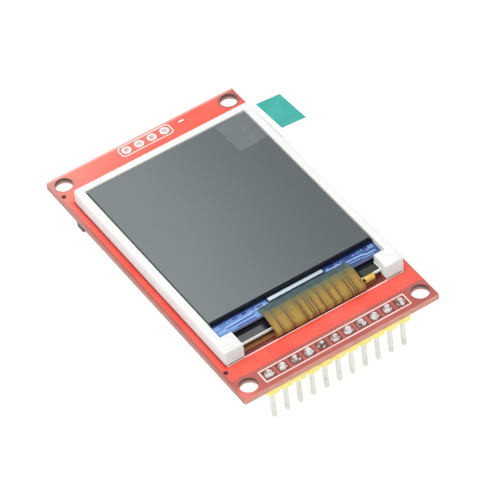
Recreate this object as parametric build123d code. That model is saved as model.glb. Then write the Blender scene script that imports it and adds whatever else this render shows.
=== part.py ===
from build123d import *
import math
import os

# Small colour display module: a red circuit board with a liquid crystal display in a white
# moulded frame on its face, a pin row along one end and a memory card socket on its back.
# Millimetres. X runs along the pin row, Y towards the end with the four plated holes, and Z up
# out of the board's face. The origin is the middle of the four mounting holes, on that face.

# Circuit board: its outline is the display frame's with a margin on each side
BOARD_SIDE = 1.55
BOARD_PIN_END = 7.7
BOARD_HOLE_END = 7.3
BOARD_T = 1.2
BOARD_CORNER_R = 0.4
MOUNT_HOLE_D = 3.2
MOUNT_HOLE_INSET = 2.3
VIA_D = 0.6
VIA_EDGE = 0.8
VIA_HIGH_INSET = 4.8
VIA_LOW_INSET = 6.7

# Pin row along the lower end
PITCH = 2.54
HEADER_WAYS = 11
HEADER_INSET = 2.3
STRIP_W = 2.5
STRIP_H = 2.54
STRIP_NOTCH = 0.5
PIN_SIDE = 0.64
PIN_ABOVE = 0.9
PIN_BELOW = 6.4
PIN_TIP = 0.4
PIN_TIP_SIDE = 0.3
HEADER_HOLE_D = 1.02
SOLDER_FOOT_D = 1.8
SOLDER_H = 0.7
SOLDER_NECK = 0.03
SOLDER_WAIST = 0.12
SOLDER_WAIST_H = 0.25
SOLDER_SIDES = 12

# Four plated holes along the upper end
PLATED_WAYS = 4
PLATED_INSET = 1.8
EYELET_BORE_D = 1.0
EYELET_WALL = 0.05
EYELET_FLANGE_D = 1.75
EYELET_FLANGE_T = 0.05

# White display frame
FRAME_W = 34.7
FRAME_L = 47.0
FRAME_H = 2.75
FRAME_CORNER_R = 0.45
FRAME_EDGE = 0.12
SIDE_RAIL = 1.4
TOP_RAIL = 1.45
BLOCK_W = 3.55
BLOCK_L = 3.55
FRONT_RAIL_SETBACK = 1.7
FRONT_RAIL_T = 0.8
LEDGE_REACH = 0.75
LIP_REACH = 1.0
LIP_T = 0.25
LUG_L = 3.0
LUG_W = 0.5
LUG_Y = 12.0

# Backlight stack, from the bottom up
TAPE_T = 0.25
TAPE_W = 2.9
TAPE_EDGE = 0.45
REFLECTOR_T = 0.06
GUIDE_T = 0.5
DIFFUSER_T = 0.08
PRISM_T = 0.08
SHIELD_T = 0.06
SHIELD_BORDER = 1.55
SHEET_CLEAR = 0.1
SHEET_STEP = 0.1

# Light emitting diodes and their flexible strip
LED_COUNT = 3
LED_L = 3.8
LED_DEPTH = 1.2
LED_H = 0.6
LED_WINDOW_L = 2.8
LED_WINDOW_H = 0.36
LED_WINDOW_DEPTH = 0.25
LED_STRIP_END = 2.4
LED_STRIP_CLEAR = 1.5
STRIP_FLEX_T = 0.12
TAIL_W = 1.8
TAIL_GAP = 0.6
TAIL_BEND_R = 0.3
NOTCH_CLEAR = 0.1

# Display glass
GLASS_CLEAR = 0.15
GLASS_T = 0.5
GLASS_TO_BLOCK = 0.7
DRIVER_LEDGE = 2.55
POLARIZER_T = 0.2
POLARIZER_SIDE = 0.2
POLARIZER_END = 0.15
FILM_T = 0.06
CHIP_L = 10.6
CHIP_W = 0.75
CHIP_H = 0.3
CHIP_X = 0.3
CHIP_GAP = 0.1

# Pull tab on the protective film
TAB_L = 13.5
TAB_W = 7.6
TAB_T = 0.05
TAB_GRIP_L = 5.0
TAB_GRIP_T = 0.08
TAB_OUT = 5.95
TAB_HANG = 0.25
TAB_DROOP = 0.75
TAB_FROM_TOP = 5.47
TAB_ANGLE = 2.5
TAB_RISE_L = 1.5
TAB_REST = 1.0

# Main flexible cable
FLEX_T = 0.12
FLEX_W = 17.35
FLEX_TO_STRIP = 0.6
FLEX_BOND = 1.25
FLEX_LEAVE = 0.85
FLEX_LEAVE_R = 2.2
FLEX_DROP = 0.96
FLEX_FOLD_R = 0.42
FLEX_SETBACK = 0.1
FLEX_TAIL_L = 8.0
FLEX_TAIL_LEFT_CLEAR = 0.5
FLEX_TAIL_RIGHT_CLEAR = 1.7
FLEX_SHOULDER = 0.8
FLEX_CORNER_R = 0.5
FLEX_PADS = 14
FLEX_PAD_PITCH = 1.1
FLEX_PAD_W = 0.6
FLEX_PAD_L = 2.2
FLEX_PAD_T = 0.06
FLEX_PAD_INSET = 0.4

# Memory card socket on the board's back
CARD_W = 24.0
CARD_T = 2.1
CARD_SIDE_CLEAR = 0.1
CARD_FACE_CLEAR = 0.05
CARD_CORNER = 3.5
SOCKET_TOP_INSET = 8.4
SOCKET_TIP_INSET = 0.7
SOCKET_DEPTH = 27.0
SOCKET_ARM = 5.2
SOCKET_FLOOR_T = 0.55
SOCKET_REAR_T = 2.0
SOCKET_LOW_WALL = 1.3
SOCKET_HIGH_WALL = 3.5
SOCKET_FLARE = 1.8
SOCKET_FLOOR_BAR = 3.0
PEG_D = 1.5
PEG_L = 1.0
PEG_CLEAR = 0.1
SHELL_T = 0.2
SHELL_BEND_R = 0.3
SHELL_LIFT = 0.15
SHELL_MOUTH_STEP = 1.2
SHELL_LIP_L = 0.8
SHELL_LIP_OUT = 0.3
SHELL_TONGUE_L = 7.0
SHELL_TONGUE_W = 2.4
SHELL_TONGUE_DROP = 0.5
SHELL_TONGUE_NOSE = 1.2
SHELL_TONGUE_BEND_R = 1.5
SHELL_SLOT = 0.6
SHELL_TONGUE_Y = 8.0
SHELL_WINDOW_L = 4.0
SHELL_WINDOW_W = 2.0
SHELL_RIB_L = 9.0
SHELL_RIB_W = 1.6
SHELL_RIB_H = 0.25
SHELL_RIB_CORNER = 0.45
SHELL_RIB_DRAFT = 35.0
SHELL_FOOT_L = 2.2
SHELL_FOOT_W = 1.0
SHELL_FOOT_END = 2.0

# Contact springs in the socket
CONTACTS = 9
CONTACT_PITCH = 2.5
CONTACT_W = 0.8
CONTACT_T = 0.15
CONTACT_TAIL = 1.6
CONTACT_BEAM = 5.0
CONTACT_RISE = 1.2
CONTACT_NOSE = 1.2
CONTACT_NOSE_DROP = 0.4
CONTACT_BEND_R = 0.6
CONTACT_SLOT_CLEAR = 0.1
CONTACT_SLOT_L = 7.0
SWITCH_L = 9.0
SWITCH_HELD = 1.8
SWITCH_W = 1.2
SWITCH_T = 0.15
SWITCH_PITCH = 11.0
SWITCH_REAR = 6.0
SWITCH_POCKET = 0.9
SWITCH_NOSE = 0.35
SWITCH_BEND_R = 0.8

# Small parts on the board's back
REG_INSET = 6.9
REG_FROM_PINS = 11.2
REG_L = 2.9
REG_W = 1.3
REG_H = 1.1
REG_SEAT = 0.1
REG_LEAD_PITCH = 0.95
REG_LEAD_W = 0.4
REG_LEAD_T = 0.13
REG_LEAD_REACH = 0.6
REG_LEAD_Z = 0.5
REG_DRAFT = 0.12
RESISTORS = 5
RESISTOR_INSET = 6.4
RESISTOR_FROM_PINS = 15.2
RESISTOR_PITCH = 3.0
RESISTOR_L = 1.6
RESISTOR_W = 0.8
RESISTOR_H = 0.45
CAPACITORS = 2
CAPACITOR_TO_REG = 4.2
CAPACITOR_PITCH = 3.2
CAPACITOR_L = 2.0
CAPACITOR_W = 1.25
CAPACITOR_H = 1.2
CHIP_PART_CAP = 0.3
CHIP_PART_STEP = 0.03

# Places that follow from the sizes above
board_w = FRAME_W + 2 * BOARD_SIDE
board_l = FRAME_L + BOARD_PIN_END + BOARD_HOLE_END
board_right = board_w / 2
board_high = board_l / 2
board_back = -BOARD_T
hole_x = board_right - MOUNT_HOLE_INSET
hole_y = board_high - MOUNT_HOLE_INSET
header_y = -board_high + HEADER_INSET
plated_y = board_high - PLATED_INSET

frame_side = FRAME_W / 2
frame_low = -board_high + BOARD_PIN_END
frame_high = board_high - BOARD_HOLE_END
frame_y = (frame_low + frame_high) / 2
frame_base = TAPE_T
frame_top = frame_base + FRAME_H
pocket_side = frame_side - SIDE_RAIL
pocket_high = frame_high - TOP_RAIL
block_inner = frame_side - BLOCK_W
block_high = frame_low + BLOCK_L
front_rail_low = frame_low + FRONT_RAIL_SETBACK
bay_low = front_rail_low + FRONT_RAIL_T
guide_low = bay_low + SHEET_CLEAR + LED_DEPTH
strip_side = block_inner - LED_STRIP_CLEAR
bay_side = strip_side + SHEET_CLEAR
led_pitch = (2 * (strip_side - LED_STRIP_END) - LED_L) / (LED_COUNT - 1)
strip_tail_x = strip_side - TAIL_W / 2
tape_inner = frame_side - TAPE_EDGE - TAPE_W
sheet_side = pocket_side - LEDGE_REACH
sheet_high = pocket_high - LEDGE_REACH

reflector_z = frame_base + LIP_T
guide_z = reflector_z + REFLECTOR_T
diffuser_z = guide_z + GUIDE_T
prism_z = diffuser_z + DIFFUSER_T
ledge_z = prism_z + 2 * PRISM_T
shield_z = ledge_z
rear_polarizer_z = shield_z + SHIELD_T
array_z = rear_polarizer_z + POLARIZER_T
filter_z = array_z + GLASS_T
polarizer_z = filter_z + GLASS_T
film_z = polarizer_z + POLARIZER_T
tab_z = film_z + FILM_T
tab_y = frame_high - TAB_FROM_TOP

glass_side = pocket_side - GLASS_CLEAR
glass_high = pocket_high - GLASS_CLEAR
array_low = block_high + GLASS_TO_BLOCK
filter_low = array_low + DRIVER_LEDGE

flex_x = strip_side - TAIL_W - FLEX_TO_STRIP - FLEX_W / 2
flex_tail = (FLEX_TAIL_LEFT_CLEAR - tape_inner, tape_inner - FLEX_TAIL_RIGHT_CLEAR)
flex_tail_low = front_rail_low - FLEX_SHOULDER

socket_back_z = board_back - SOCKET_FLOOR_T - CARD_T - CARD_FACE_CLEAR
shell_z = socket_back_z - SHELL_T
slot_w = CARD_W + 2 * CARD_SIDE_CLEAR
socket_high = board_high - SOCKET_TOP_INSET - SHELL_T
slot_high = socket_high - SOCKET_HIGH_WALL
slot_low = slot_high - slot_w
socket_low = slot_low - SOCKET_LOW_WALL
socket_tip = -board_right + SOCKET_TIP_INSET
socket_mouth = socket_tip + SOCKET_ARM
socket_rear = socket_mouth + SOCKET_DEPTH
slot_rear = socket_rear - SOCKET_REAR_T
slot_mid = (slot_low + slot_high) / 2

reg_x = board_right - REG_INSET
reg_y = header_y + REG_FROM_PINS
tongue_x = socket_mouth + SHELL_MOUTH_STEP + SOCKET_FLOOR_BAR + SHELL_TONGUE_L / 2


def block(x, y, z):
    """A block between two places on each axis, given as pairs."""
    size = (x[1] - x[0], y[1] - y[0], z[1] - z[0])
    middle = (sum(x) / 2, sum(y) / 2, sum(z) / 2)
    return Pos(*middle) * Box(*size)


def plate(outline, z, thick):
    """A flat outline drawn on the XY plane, raised to z and given its thickness."""
    return extrude(Pos(0, 0, z) * outline, amount=thick)


def panel(x, y):
    """A rectangle on the XY plane between two places on each axis, given as pairs."""
    return Pos(sum(x) / 2, sum(y) / 2, 0) * Rectangle(x[1] - x[0], y[1] - y[0])


def row(count, pitch):
    """Places of a row's members, even about zero."""
    return [(n - (count - 1) / 2) * pitch for n in range(count)]


def strip_along(path, wide, thick, wide_axis):
    """A flat strip of even thickness that follows a path, its width along wide_axis."""
    plane = Plane(origin=path @ 0, x_dir=wide_axis, z_dir=path % 0)
    return sweep(plane * Rectangle(wide, thick), path=path)


def holes(places, diameter, z, deep):
    """Round holes at the given places, cut down from z."""
    drill = Pos(0, 0, z - deep / 2) * Cylinder(diameter / 2, deep)
    return [Pos(x, y, 0) * drill for x, y in places]


header_places = [(x, header_y) for x in row(HEADER_WAYS, PITCH)]
plated_places = [(x, plated_y) for x in row(PLATED_WAYS, PITCH)]
mount_places = [(sx * hole_x, sy * hole_y) for sx in (-1, 1) for sy in (-1, 1)]
via_x = -board_right + VIA_EDGE
via_places = [(via_x, board_high - VIA_HIGH_INSET), (via_x, -board_high + VIA_LOW_INSET)]
peg_x = (socket_mouth + SOCKET_FLOOR_BAR / 2, slot_rear - CONTACT_SLOT_L - 2 * PEG_D)
peg_places = [(peg_x[0], slot_low + PEG_D), (peg_x[1], slot_high - PEG_D)]
contact_places = [slot_mid + y for y in row(CONTACTS, CONTACT_PITCH)]


# Circuit board: mounting holes, pin and plated holes, vias and the socket's two peg holes
def circuit_board():
    outline = RectangleRounded(board_w, board_l, BOARD_CORNER_R)
    board = plate(outline, board_back, BOARD_T)
    board -= holes(mount_places, MOUNT_HOLE_D, 0, BOARD_T)
    board -= holes(header_places, HEADER_HOLE_D, 0, BOARD_T)
    board -= holes(plated_places, EYELET_BORE_D + 2 * EYELET_WALL, 0, BOARD_T)
    board -= holes(via_places, VIA_D, 0, BOARD_T)
    board -= holes(peg_places, PEG_D + 2 * PEG_CLEAR, 0, BOARD_T)
    return board


# Pin row: one moulded strip of notched cells, and a square pin through each
def header_strip():
    cell = chamfer(Rectangle(PITCH, STRIP_W).vertices(), STRIP_NOTCH)
    cells = [Pos(x, y, 0) * cell for x, y in header_places]
    web = Pos(0, header_y, 0) * Rectangle((HEADER_WAYS - 1) * PITCH, STRIP_W - 2 * STRIP_NOTCH)
    hole = Rectangle(PIN_SIDE, PIN_SIDE)
    outline = (web + cells) - [Pos(x, y, 0) * hole for x, y in header_places]
    return plate(outline, board_back - STRIP_H, STRIP_H)


def header_pin(x, y):
    """A square pin with a blunt point at each end."""
    low = board_back - STRIP_H - PIN_BELOW
    half = PIN_SIDE / 2
    pin = block((-half, half), (-half, half), (low, PIN_ABOVE))
    ends = pin.faces().filter_by(Axis.Z)
    slope = (PIN_SIDE - PIN_TIP_SIDE) / 2
    return Pos(x, y, 0) * chamfer(ends.edges(), PIN_TIP, slope)


def solder_stage(z, radius, end_radius, high):
    """One stage of a solder cone, drawn with flats, from one radius to another."""
    flat = math.cos(math.pi / SOLDER_SIDES)
    slope = math.degrees(math.atan((radius - end_radius) * flat / high))
    return extrude(Pos(0, 0, z) * RegularPolygon(radius, SOLDER_SIDES), amount=high, taper=slope)


def solder_joint():
    """Solder that fills one hole, spreads on its land and climbs its pin."""
    neck_r = PIN_SIDE * math.sqrt(0.5) + SOLDER_NECK
    waist_r = neck_r + SOLDER_WAIST
    joint = extrude(Pos(0, 0, board_back) * RegularPolygon(HEADER_HOLE_D / 2, SOLDER_SIDES), amount=BOARD_T)
    joint += solder_stage(0, SOLDER_FOOT_D / 2, waist_r, SOLDER_WAIST_H)
    joint += solder_stage(SOLDER_WAIST_H, waist_r, neck_r, SOLDER_H - SOLDER_WAIST_H)
    half = PIN_SIDE / 2
    return joint - block((-half, half), (-half, half), (board_back, SOLDER_H))


def header_solder_joints():
    joint = solder_joint()
    return [Pos(x, y, 0) * joint for x, y in header_places]


def plated_eyelets():
    """Plated barrels with a flange on each face, left without pins."""
    bore_r = EYELET_BORE_D / 2
    wall_r = bore_r + EYELET_WALL
    barrel = Pos(0, 0, -BOARD_T / 2) * Cylinder(wall_r, BOARD_T)
    flange = Cylinder(EYELET_FLANGE_D / 2, EYELET_FLANGE_T)
    upper = Pos(0, 0, EYELET_FLANGE_T / 2) * flange
    lower = Pos(0, 0, board_back - EYELET_FLANGE_T / 2) * flange
    eyelet = barrel + upper + lower
    eyelet -= Pos(0, 0, -BOARD_T / 2) * Cylinder(bore_r, BOARD_T + 2 * EYELET_FLANGE_T)
    return [Pos(x, y, 0) * eyelet for x, y in plated_places]


# Display frame: a moulded tray with a ledge for the glass, a pocket for the sheets, a bay for
# the diodes behind its low front rail, and a full-height block at each lower corner
def display_frame():
    outer = Pos(0, frame_y, 0) * RectangleRounded(FRAME_W, FRAME_L, FRAME_CORNER_R)
    frame = plate(outer, frame_base, FRAME_H)
    frame = chamfer(frame.faces().sort_by(Axis.Z)[-1].edges(), FRAME_EDGE)

    # The space over the ledge takes the glass, and runs on over the front rail between the blocks
    glass_x = (-pocket_side, pocket_side)
    frame -= block(glass_x, (block_high, pocket_high), (ledge_z, frame_top))
    between = (-block_inner, block_inner)
    frame -= block(between, (frame_low, block_high), (ledge_z, frame_top))
    frame -= block(between, (frame_low, front_rail_low), (frame_base, frame_top))

    # The pocket under the ledge takes the sheets, with a recess each side for the guide's lugs
    sheets = panel((-sheet_side, sheet_side), (guide_low - SHEET_CLEAR, sheet_high))
    bay = panel((-bay_side, bay_side), (bay_low, guide_low))
    lug_w = LUG_W + SHEET_CLEAR
    lug = Rectangle(2 * (sheet_side + lug_w), LUG_L + 2 * SHEET_CLEAR)
    lugs = [Pos(0, y, 0) * lug for y in (-LUG_Y, LUG_Y)]
    frame -= plate(sheets + bay + lugs, reflector_z, ledge_z - reflector_z)

    # A lip round the bottom carries the reflector, and is open in the middle
    lip_x = sheet_side - LIP_REACH
    lip_y = (guide_low + LIP_REACH, sheet_high - LIP_REACH)
    frame -= block((-lip_x, lip_x), lip_y, (frame_base, reflector_z))

    # The diode strip's tail leaves through a notch in the front rail's top
    notch_w = TAIL_W / 2 + NOTCH_CLEAR
    notch_x = (strip_tail_x - notch_w, strip_tail_x + notch_w)
    notch_z = (ledge_z - STRIP_FLEX_T, ledge_z)
    return frame - block(notch_x, (front_rail_low, bay_low), notch_z)


def mounting_tape():
    """Strips of double-sided foam tape under the frame, clear of the folded flex."""
    side_x = frame_side - TAPE_EDGE
    high = frame_high - TAPE_EDGE
    side_y = (block_high, high)
    right = block((side_x - TAPE_W, side_x), side_y, (0, TAPE_T))
    left = block((-side_x, -side_x + TAPE_W), side_y, (0, TAPE_T))
    gap_x = side_x - 2 * TAPE_W
    top = block((-gap_x, gap_x), (high - TAPE_W, high), (0, TAPE_T))
    return [left, right, top]


# Backlight: a reflector, a light guide with side lugs, a diffuser and two prism sheets
def reflector_sheet():
    side = sheet_side - SHEET_CLEAR
    sheet = panel((-side, side), (guide_low, sheet_high - SHEET_CLEAR))
    bay = bay_side - SHEET_CLEAR
    under_diodes = panel((-bay, bay), (bay_low + SHEET_CLEAR, guide_low))
    return plate(sheet + under_diodes, reflector_z, REFLECTOR_T)


def light_guide():
    side = sheet_side - SHEET_CLEAR
    outline = panel((-side, side), (guide_low, sheet_high - SHEET_CLEAR))
    lug = Rectangle(2 * (side + LUG_W), LUG_L)
    outline += [Pos(0, y, 0) * lug for y in (-LUG_Y, LUG_Y)]
    return plate(outline, guide_z, GUIDE_T)


def light_sheet(z, thick, step):
    """One thin sheet over the guide, a step smaller than the sheet below."""
    side = sheet_side - SHEET_CLEAR - step
    outline = panel((-side, side), (guide_low + step, sheet_high - SHEET_CLEAR - step))
    return plate(outline, z, thick)


def shield_tape():
    """Die-cut dark tape: a ring under the glass with a broad lower bar over the diodes."""
    side = pocket_side - SHEET_CLEAR
    ring = panel((-side, side), (block_high + SHEET_CLEAR, pocket_high - SHEET_CLEAR))
    bar_side = block_inner - SHEET_CLEAR
    bar = panel((-bar_side, bar_side), (front_rail_low + SHEET_CLEAR, block_high + SHEET_CLEAR))
    window_side = side - SHIELD_BORDER
    window_y = (filter_low + POLARIZER_SIDE, pocket_high - SHEET_CLEAR - SHIELD_BORDER)
    window = panel((-window_side, window_side), window_y)
    return plate(ring + bar - window, shield_z, SHIELD_T)


def backlight_led(x):
    """A side-lit diode: a small body with a sunk window that faces the light guide."""
    top = ledge_z - STRIP_FLEX_T
    body = block((x - LED_L / 2, x + LED_L / 2), (guide_low - LED_DEPTH, guide_low), (top - LED_H, top))
    window_x = (x - LED_WINDOW_L / 2, x + LED_WINDOW_L / 2)
    middle = top - LED_H / 2
    window_z = (middle - LED_WINDOW_H / 2, middle + LED_WINDOW_H / 2)
    return body - block(window_x, (guide_low - LED_WINDOW_DEPTH, guide_low), window_z)


def backlight_flex():
    """The strip over the diodes, with a narrow tail folded down in front of the frame."""
    low = guide_low - LED_DEPTH
    strip = block((-strip_side, strip_side), (low, guide_low), (ledge_z - STRIP_FLEX_T, ledge_z))
    middle = ledge_z - STRIP_FLEX_T / 2
    front = front_rail_low - TAIL_GAP
    rest = FLEX_PAD_T + FLEX_T + STRIP_FLEX_T / 2
    path = FilletPolyline(
        (strip_tail_x, low, middle),
        (strip_tail_x, front, middle),
        (strip_tail_x, front, rest),
        (strip_tail_x, front_rail_low, rest),
        radius=TAIL_BEND_R,
    )
    return strip + strip_along(path, TAIL_W, STRIP_FLEX_T, (1, 0, 0))


# Display glass: two bonded sheets with a bare ledge below, a polarizer on each outer face
def rear_polarizer():
    side = glass_side - POLARIZER_SIDE
    outline = panel((-side, side), (filter_low + POLARIZER_END, glass_high - POLARIZER_SIDE))
    return plate(outline, rear_polarizer_z, POLARIZER_T)


def array_glass():
    return plate(panel((-glass_side, glass_side), (array_low, glass_high)), array_z, GLASS_T)


def filter_glass():
    return plate(panel((-glass_side, glass_side), (filter_low, glass_high)), filter_z, GLASS_T)


def face_sheet(z, thick):
    """The front polarizer and the film over it share one outline."""
    side = glass_side - POLARIZER_SIDE
    outline = panel((-side, side), (filter_low + POLARIZER_END, glass_high - POLARIZER_END))
    return plate(outline, z, thick)


def driver_chip():
    high = filter_low - CHIP_GAP
    chip_x = (CHIP_X - CHIP_L / 2, CHIP_X + CHIP_L / 2)
    return block(chip_x, (high - CHIP_W, high), (filter_z, filter_z + CHIP_H))


# Pull tab: a clear strip stuck on the film, which climbs over the right rail to a green grip
def turned_tab(tab):
    """Turn the tab about its middle, because it was stuck on a little out of square."""
    middle = Pos(frame_side, tab_y, 0)
    return middle * Rot(0, 0, TAB_ANGLE) * middle.inverse() * tab


def tab_strip():
    """The strip lies on the film, climbs over the rail, and droops a little beyond it."""
    low = tab_z + TAB_T / 2
    high = frame_top + TAB_T / 2
    end = frame_side + TAB_OUT
    top = frame_side - SIDE_RAIL - TAB_REST
    path = FilletPolyline(
        (end - TAB_L, tab_y, low),
        (top - TAB_RISE_L, tab_y, low),
        (top, tab_y, high),
        (frame_side + TAB_HANG, tab_y, high),
        (end, tab_y, high - TAB_DROOP),
        radius=TAB_RISE_L,
    )
    return turned_tab(strip_along(path, TAB_W, TAB_T, (0, 1, 0)))


def tab_grip():
    """A coloured layer on the strip's drooping end."""
    base = Plane(
        origin=(frame_side + TAB_OUT, tab_y, frame_top + TAB_T / 2 - TAB_DROOP),
        x_dir=(TAB_OUT - TAB_HANG, 0, -TAB_DROOP),
        z_dir=(TAB_DROOP, 0, TAB_OUT - TAB_HANG),
    )
    layer = Pos(-TAB_GRIP_L / 2, 0, TAB_T / 2 + TAB_GRIP_T / 2) * Box(TAB_GRIP_L, TAB_W, TAB_GRIP_T)
    return turned_tab(base * layer)


# Main flex: bonded on the glass ledge, sloping down over the front rail, folded tight at the
# board and run back under the display, where it widens to its soldered tail
def main_flex():
    bond = filter_z + FLEX_T / 2
    rest = FLEX_PAD_T + FLEX_T / 2
    outer = frame_low + FLEX_SETBACK + FLEX_T / 2
    path = FilletPolyline(
        (flex_x, array_low + FLEX_BOND, bond),
        (flex_x, array_low - FLEX_LEAVE, bond),
        (flex_x, outer, bond - FLEX_DROP),
        (flex_x, outer, rest),
        (flex_x, flex_tail_low + FLEX_T, rest),
        radius=(FLEX_LEAVE_R, FLEX_FOLD_R, FLEX_FOLD_R),
    )
    neck = strip_along(path, FLEX_W, FLEX_T, (1, 0, 0))
    tail = RectangleRounded(flex_tail[1] - flex_tail[0], FLEX_TAIL_L, FLEX_CORNER_R)
    place = Pos(sum(flex_tail) / 2, flex_tail_low + FLEX_TAIL_L / 2, 0)
    return neck + plate(place * tail, FLEX_PAD_T, FLEX_T)


def flex_solder_joints():
    """Flat soldered lands that join the flex's tail to the board."""
    high = flex_tail_low + FLEX_TAIL_L - FLEX_PAD_INSET
    land_y = (high - FLEX_PAD_L, high)
    half = FLEX_PAD_W / 2
    middles = [sum(flex_tail) / 2 + x for x in row(FLEX_PADS, FLEX_PAD_PITCH)]
    return [block((x - half, x + half), land_y, (0, FLEX_PAD_T)) for x in middles]


# Card socket: a moulded base with a card slot open to the left, one long guide arm, slotted
# floor for the contact springs, and two pegs in the board
def socket_outline():
    """The base seen from above: the body, and the arm with its inner corner flared."""
    body = panel((socket_mouth, socket_rear), (socket_low, socket_high))
    arm = Polyline(
        (socket_mouth, socket_high),
        (socket_tip, socket_high),
        (socket_tip, slot_high + SOCKET_FLARE),
        (socket_mouth, slot_high),
        close=True,
    )
    return body + make_face(arm)


def card_socket_base():
    base = plate(socket_outline(), socket_back_z, board_back - socket_back_z)
    sides = base.faces().sort_by(Axis.Z)[0].edges().filter_by(Axis.X)
    base = chamfer([sides.sort_by(Axis.Y)[0], sides.sort_by(Axis.Y)[-1]], SHELL_BEND_R)
    floor_z = board_back - SOCKET_FLOOR_T
    slot_x = (socket_mouth, slot_rear)
    base -= block(slot_x, (slot_low, slot_high), (socket_back_z, floor_z))

    # The floor is open between its front bar and the contact carrier at the rear
    open_x = (socket_mouth + SOCKET_FLOOR_BAR, slot_rear - CONTACT_SLOT_L - SOCKET_FLOOR_BAR)
    open_y = (slot_low + SOCKET_FLOOR_BAR, slot_high - SOCKET_FLOOR_BAR)
    base -= block(open_x, open_y, (floor_z, board_back))

    # A slot under each contact's beam, and a groove that holds its tail under the rear wall
    half = CONTACT_W / 2
    wide = half + CONTACT_SLOT_CLEAR
    beam_x = (slot_rear - CONTACT_SLOT_L, slot_rear)
    tail_x = (slot_rear, socket_rear)
    for y in contact_places:
        base -= block(beam_x, (y - wide, y + wide), (floor_z, board_back))
        base -= block(tail_x, (y - half, y + half), (board_back - CONTACT_T, board_back))

    # A wedge fills the slot's far corner, so that only a card put in the right way goes home
    wedge = Polyline(
        (slot_rear, slot_high),
        (slot_rear - CARD_CORNER, slot_high),
        (slot_rear, slot_high - CARD_CORNER),
        close=True,
    )
    base += plate(make_face(wedge), socket_back_z, floor_z - socket_back_z)

    # Pockets in the broad wall for the two switch springs, each with a slit that grips its end
    floor_gap = switch_z_range()
    for end in switch_ends():
        held = (end - SWITCH_HELD, end)
        free = (end - SWITCH_L - SWITCH_NOSE, end - SWITCH_HELD)
        middle = slot_high + SWITCH_POCKET - SWITCH_T
        base -= block(free, (slot_high, slot_high + SWITCH_POCKET), floor_gap)
        base -= block(held, (middle - SWITCH_T / 2, middle + SWITCH_T / 2), floor_gap)

    peg = Cylinder(PEG_D / 2, PEG_L)
    return base + [Pos(x, y, board_back + PEG_L / 2) * peg for x, y in peg_places]


def switch_ends():
    """Where each switch spring's held end stands along the slot."""
    rear = slot_rear - SWITCH_REAR
    return [rear - n * SWITCH_PITCH for n in range(2)]


def switch_z_range():
    """The height that a switch spring takes, in the middle of the card's space."""
    middle = board_back - SOCKET_FLOOR_T - CARD_T / 2
    return (middle - SWITCH_W / 2, middle + SWITCH_W / 2)


def shell_outline():
    """The cover seen from above: the base's outline, with its mouth edge set back."""
    skirts = (socket_low - SHELL_T, socket_high + SHELL_T)
    body = panel((socket_mouth + SHELL_MOUTH_STEP, socket_rear), skirts)
    arm = Polyline(
        (socket_mouth + SHELL_MOUTH_STEP, skirts[1]),
        (socket_tip, skirts[1]),
        (socket_tip, slot_high + SOCKET_FLARE),
        (socket_mouth, slot_high),
        (socket_mouth + SHELL_MOUTH_STEP, slot_high),
        close=True,
    )
    return body + make_face(arm)


def shell_foot(x, side):
    """A soldered foot that turns outwards from the foot of one skirt."""
    skirt = (socket_high if side > 0 else socket_low) + side * SHELL_T / 2
    flat = board_back - SHELL_T / 2
    path = FilletPolyline(
        (x, skirt, board_back - 3 * SHELL_T - SHELL_BEND_R),
        (x, skirt, flat),
        (x, skirt + side * (SHELL_T / 2 + SHELL_FOOT_W), flat),
        radius=SHELL_BEND_R,
    )
    return strip_along(path, SHELL_FOOT_L, SHELL_T, (1, 0, 0))


def shell_tongue(y):
    """A spring tongue that dips into the card's space and turns back out at its nose."""
    middle = shell_z + SHELL_T / 2
    root = tongue_x + SHELL_TONGUE_L / 2
    nose = root - SHELL_TONGUE_L
    path = FilletPolyline(
        (root + SHELL_SLOT, y, middle),
        (root - SHELL_SLOT, y, middle),
        (nose + SHELL_TONGUE_NOSE, y, middle + SHELL_TONGUE_DROP),
        (nose, y, middle + SHELL_TONGUE_DROP / 2),
        radius=SHELL_TONGUE_BEND_R,
    )
    return strip_along(path, SHELL_TONGUE_W, SHELL_T, (0, 1, 0))


def shell_rib(height):
    """A rib with sloping sides, which the press pushes out of the cover, down from a height."""
    corner = chamfer(Rectangle(SHELL_RIB_L, SHELL_RIB_W).vertices(), SHELL_RIB_CORNER)
    return extrude(Pos(0, 0, height) * corner, amount=-SHELL_RIB_H, taper=SHELL_RIB_DRAFT)


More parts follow.
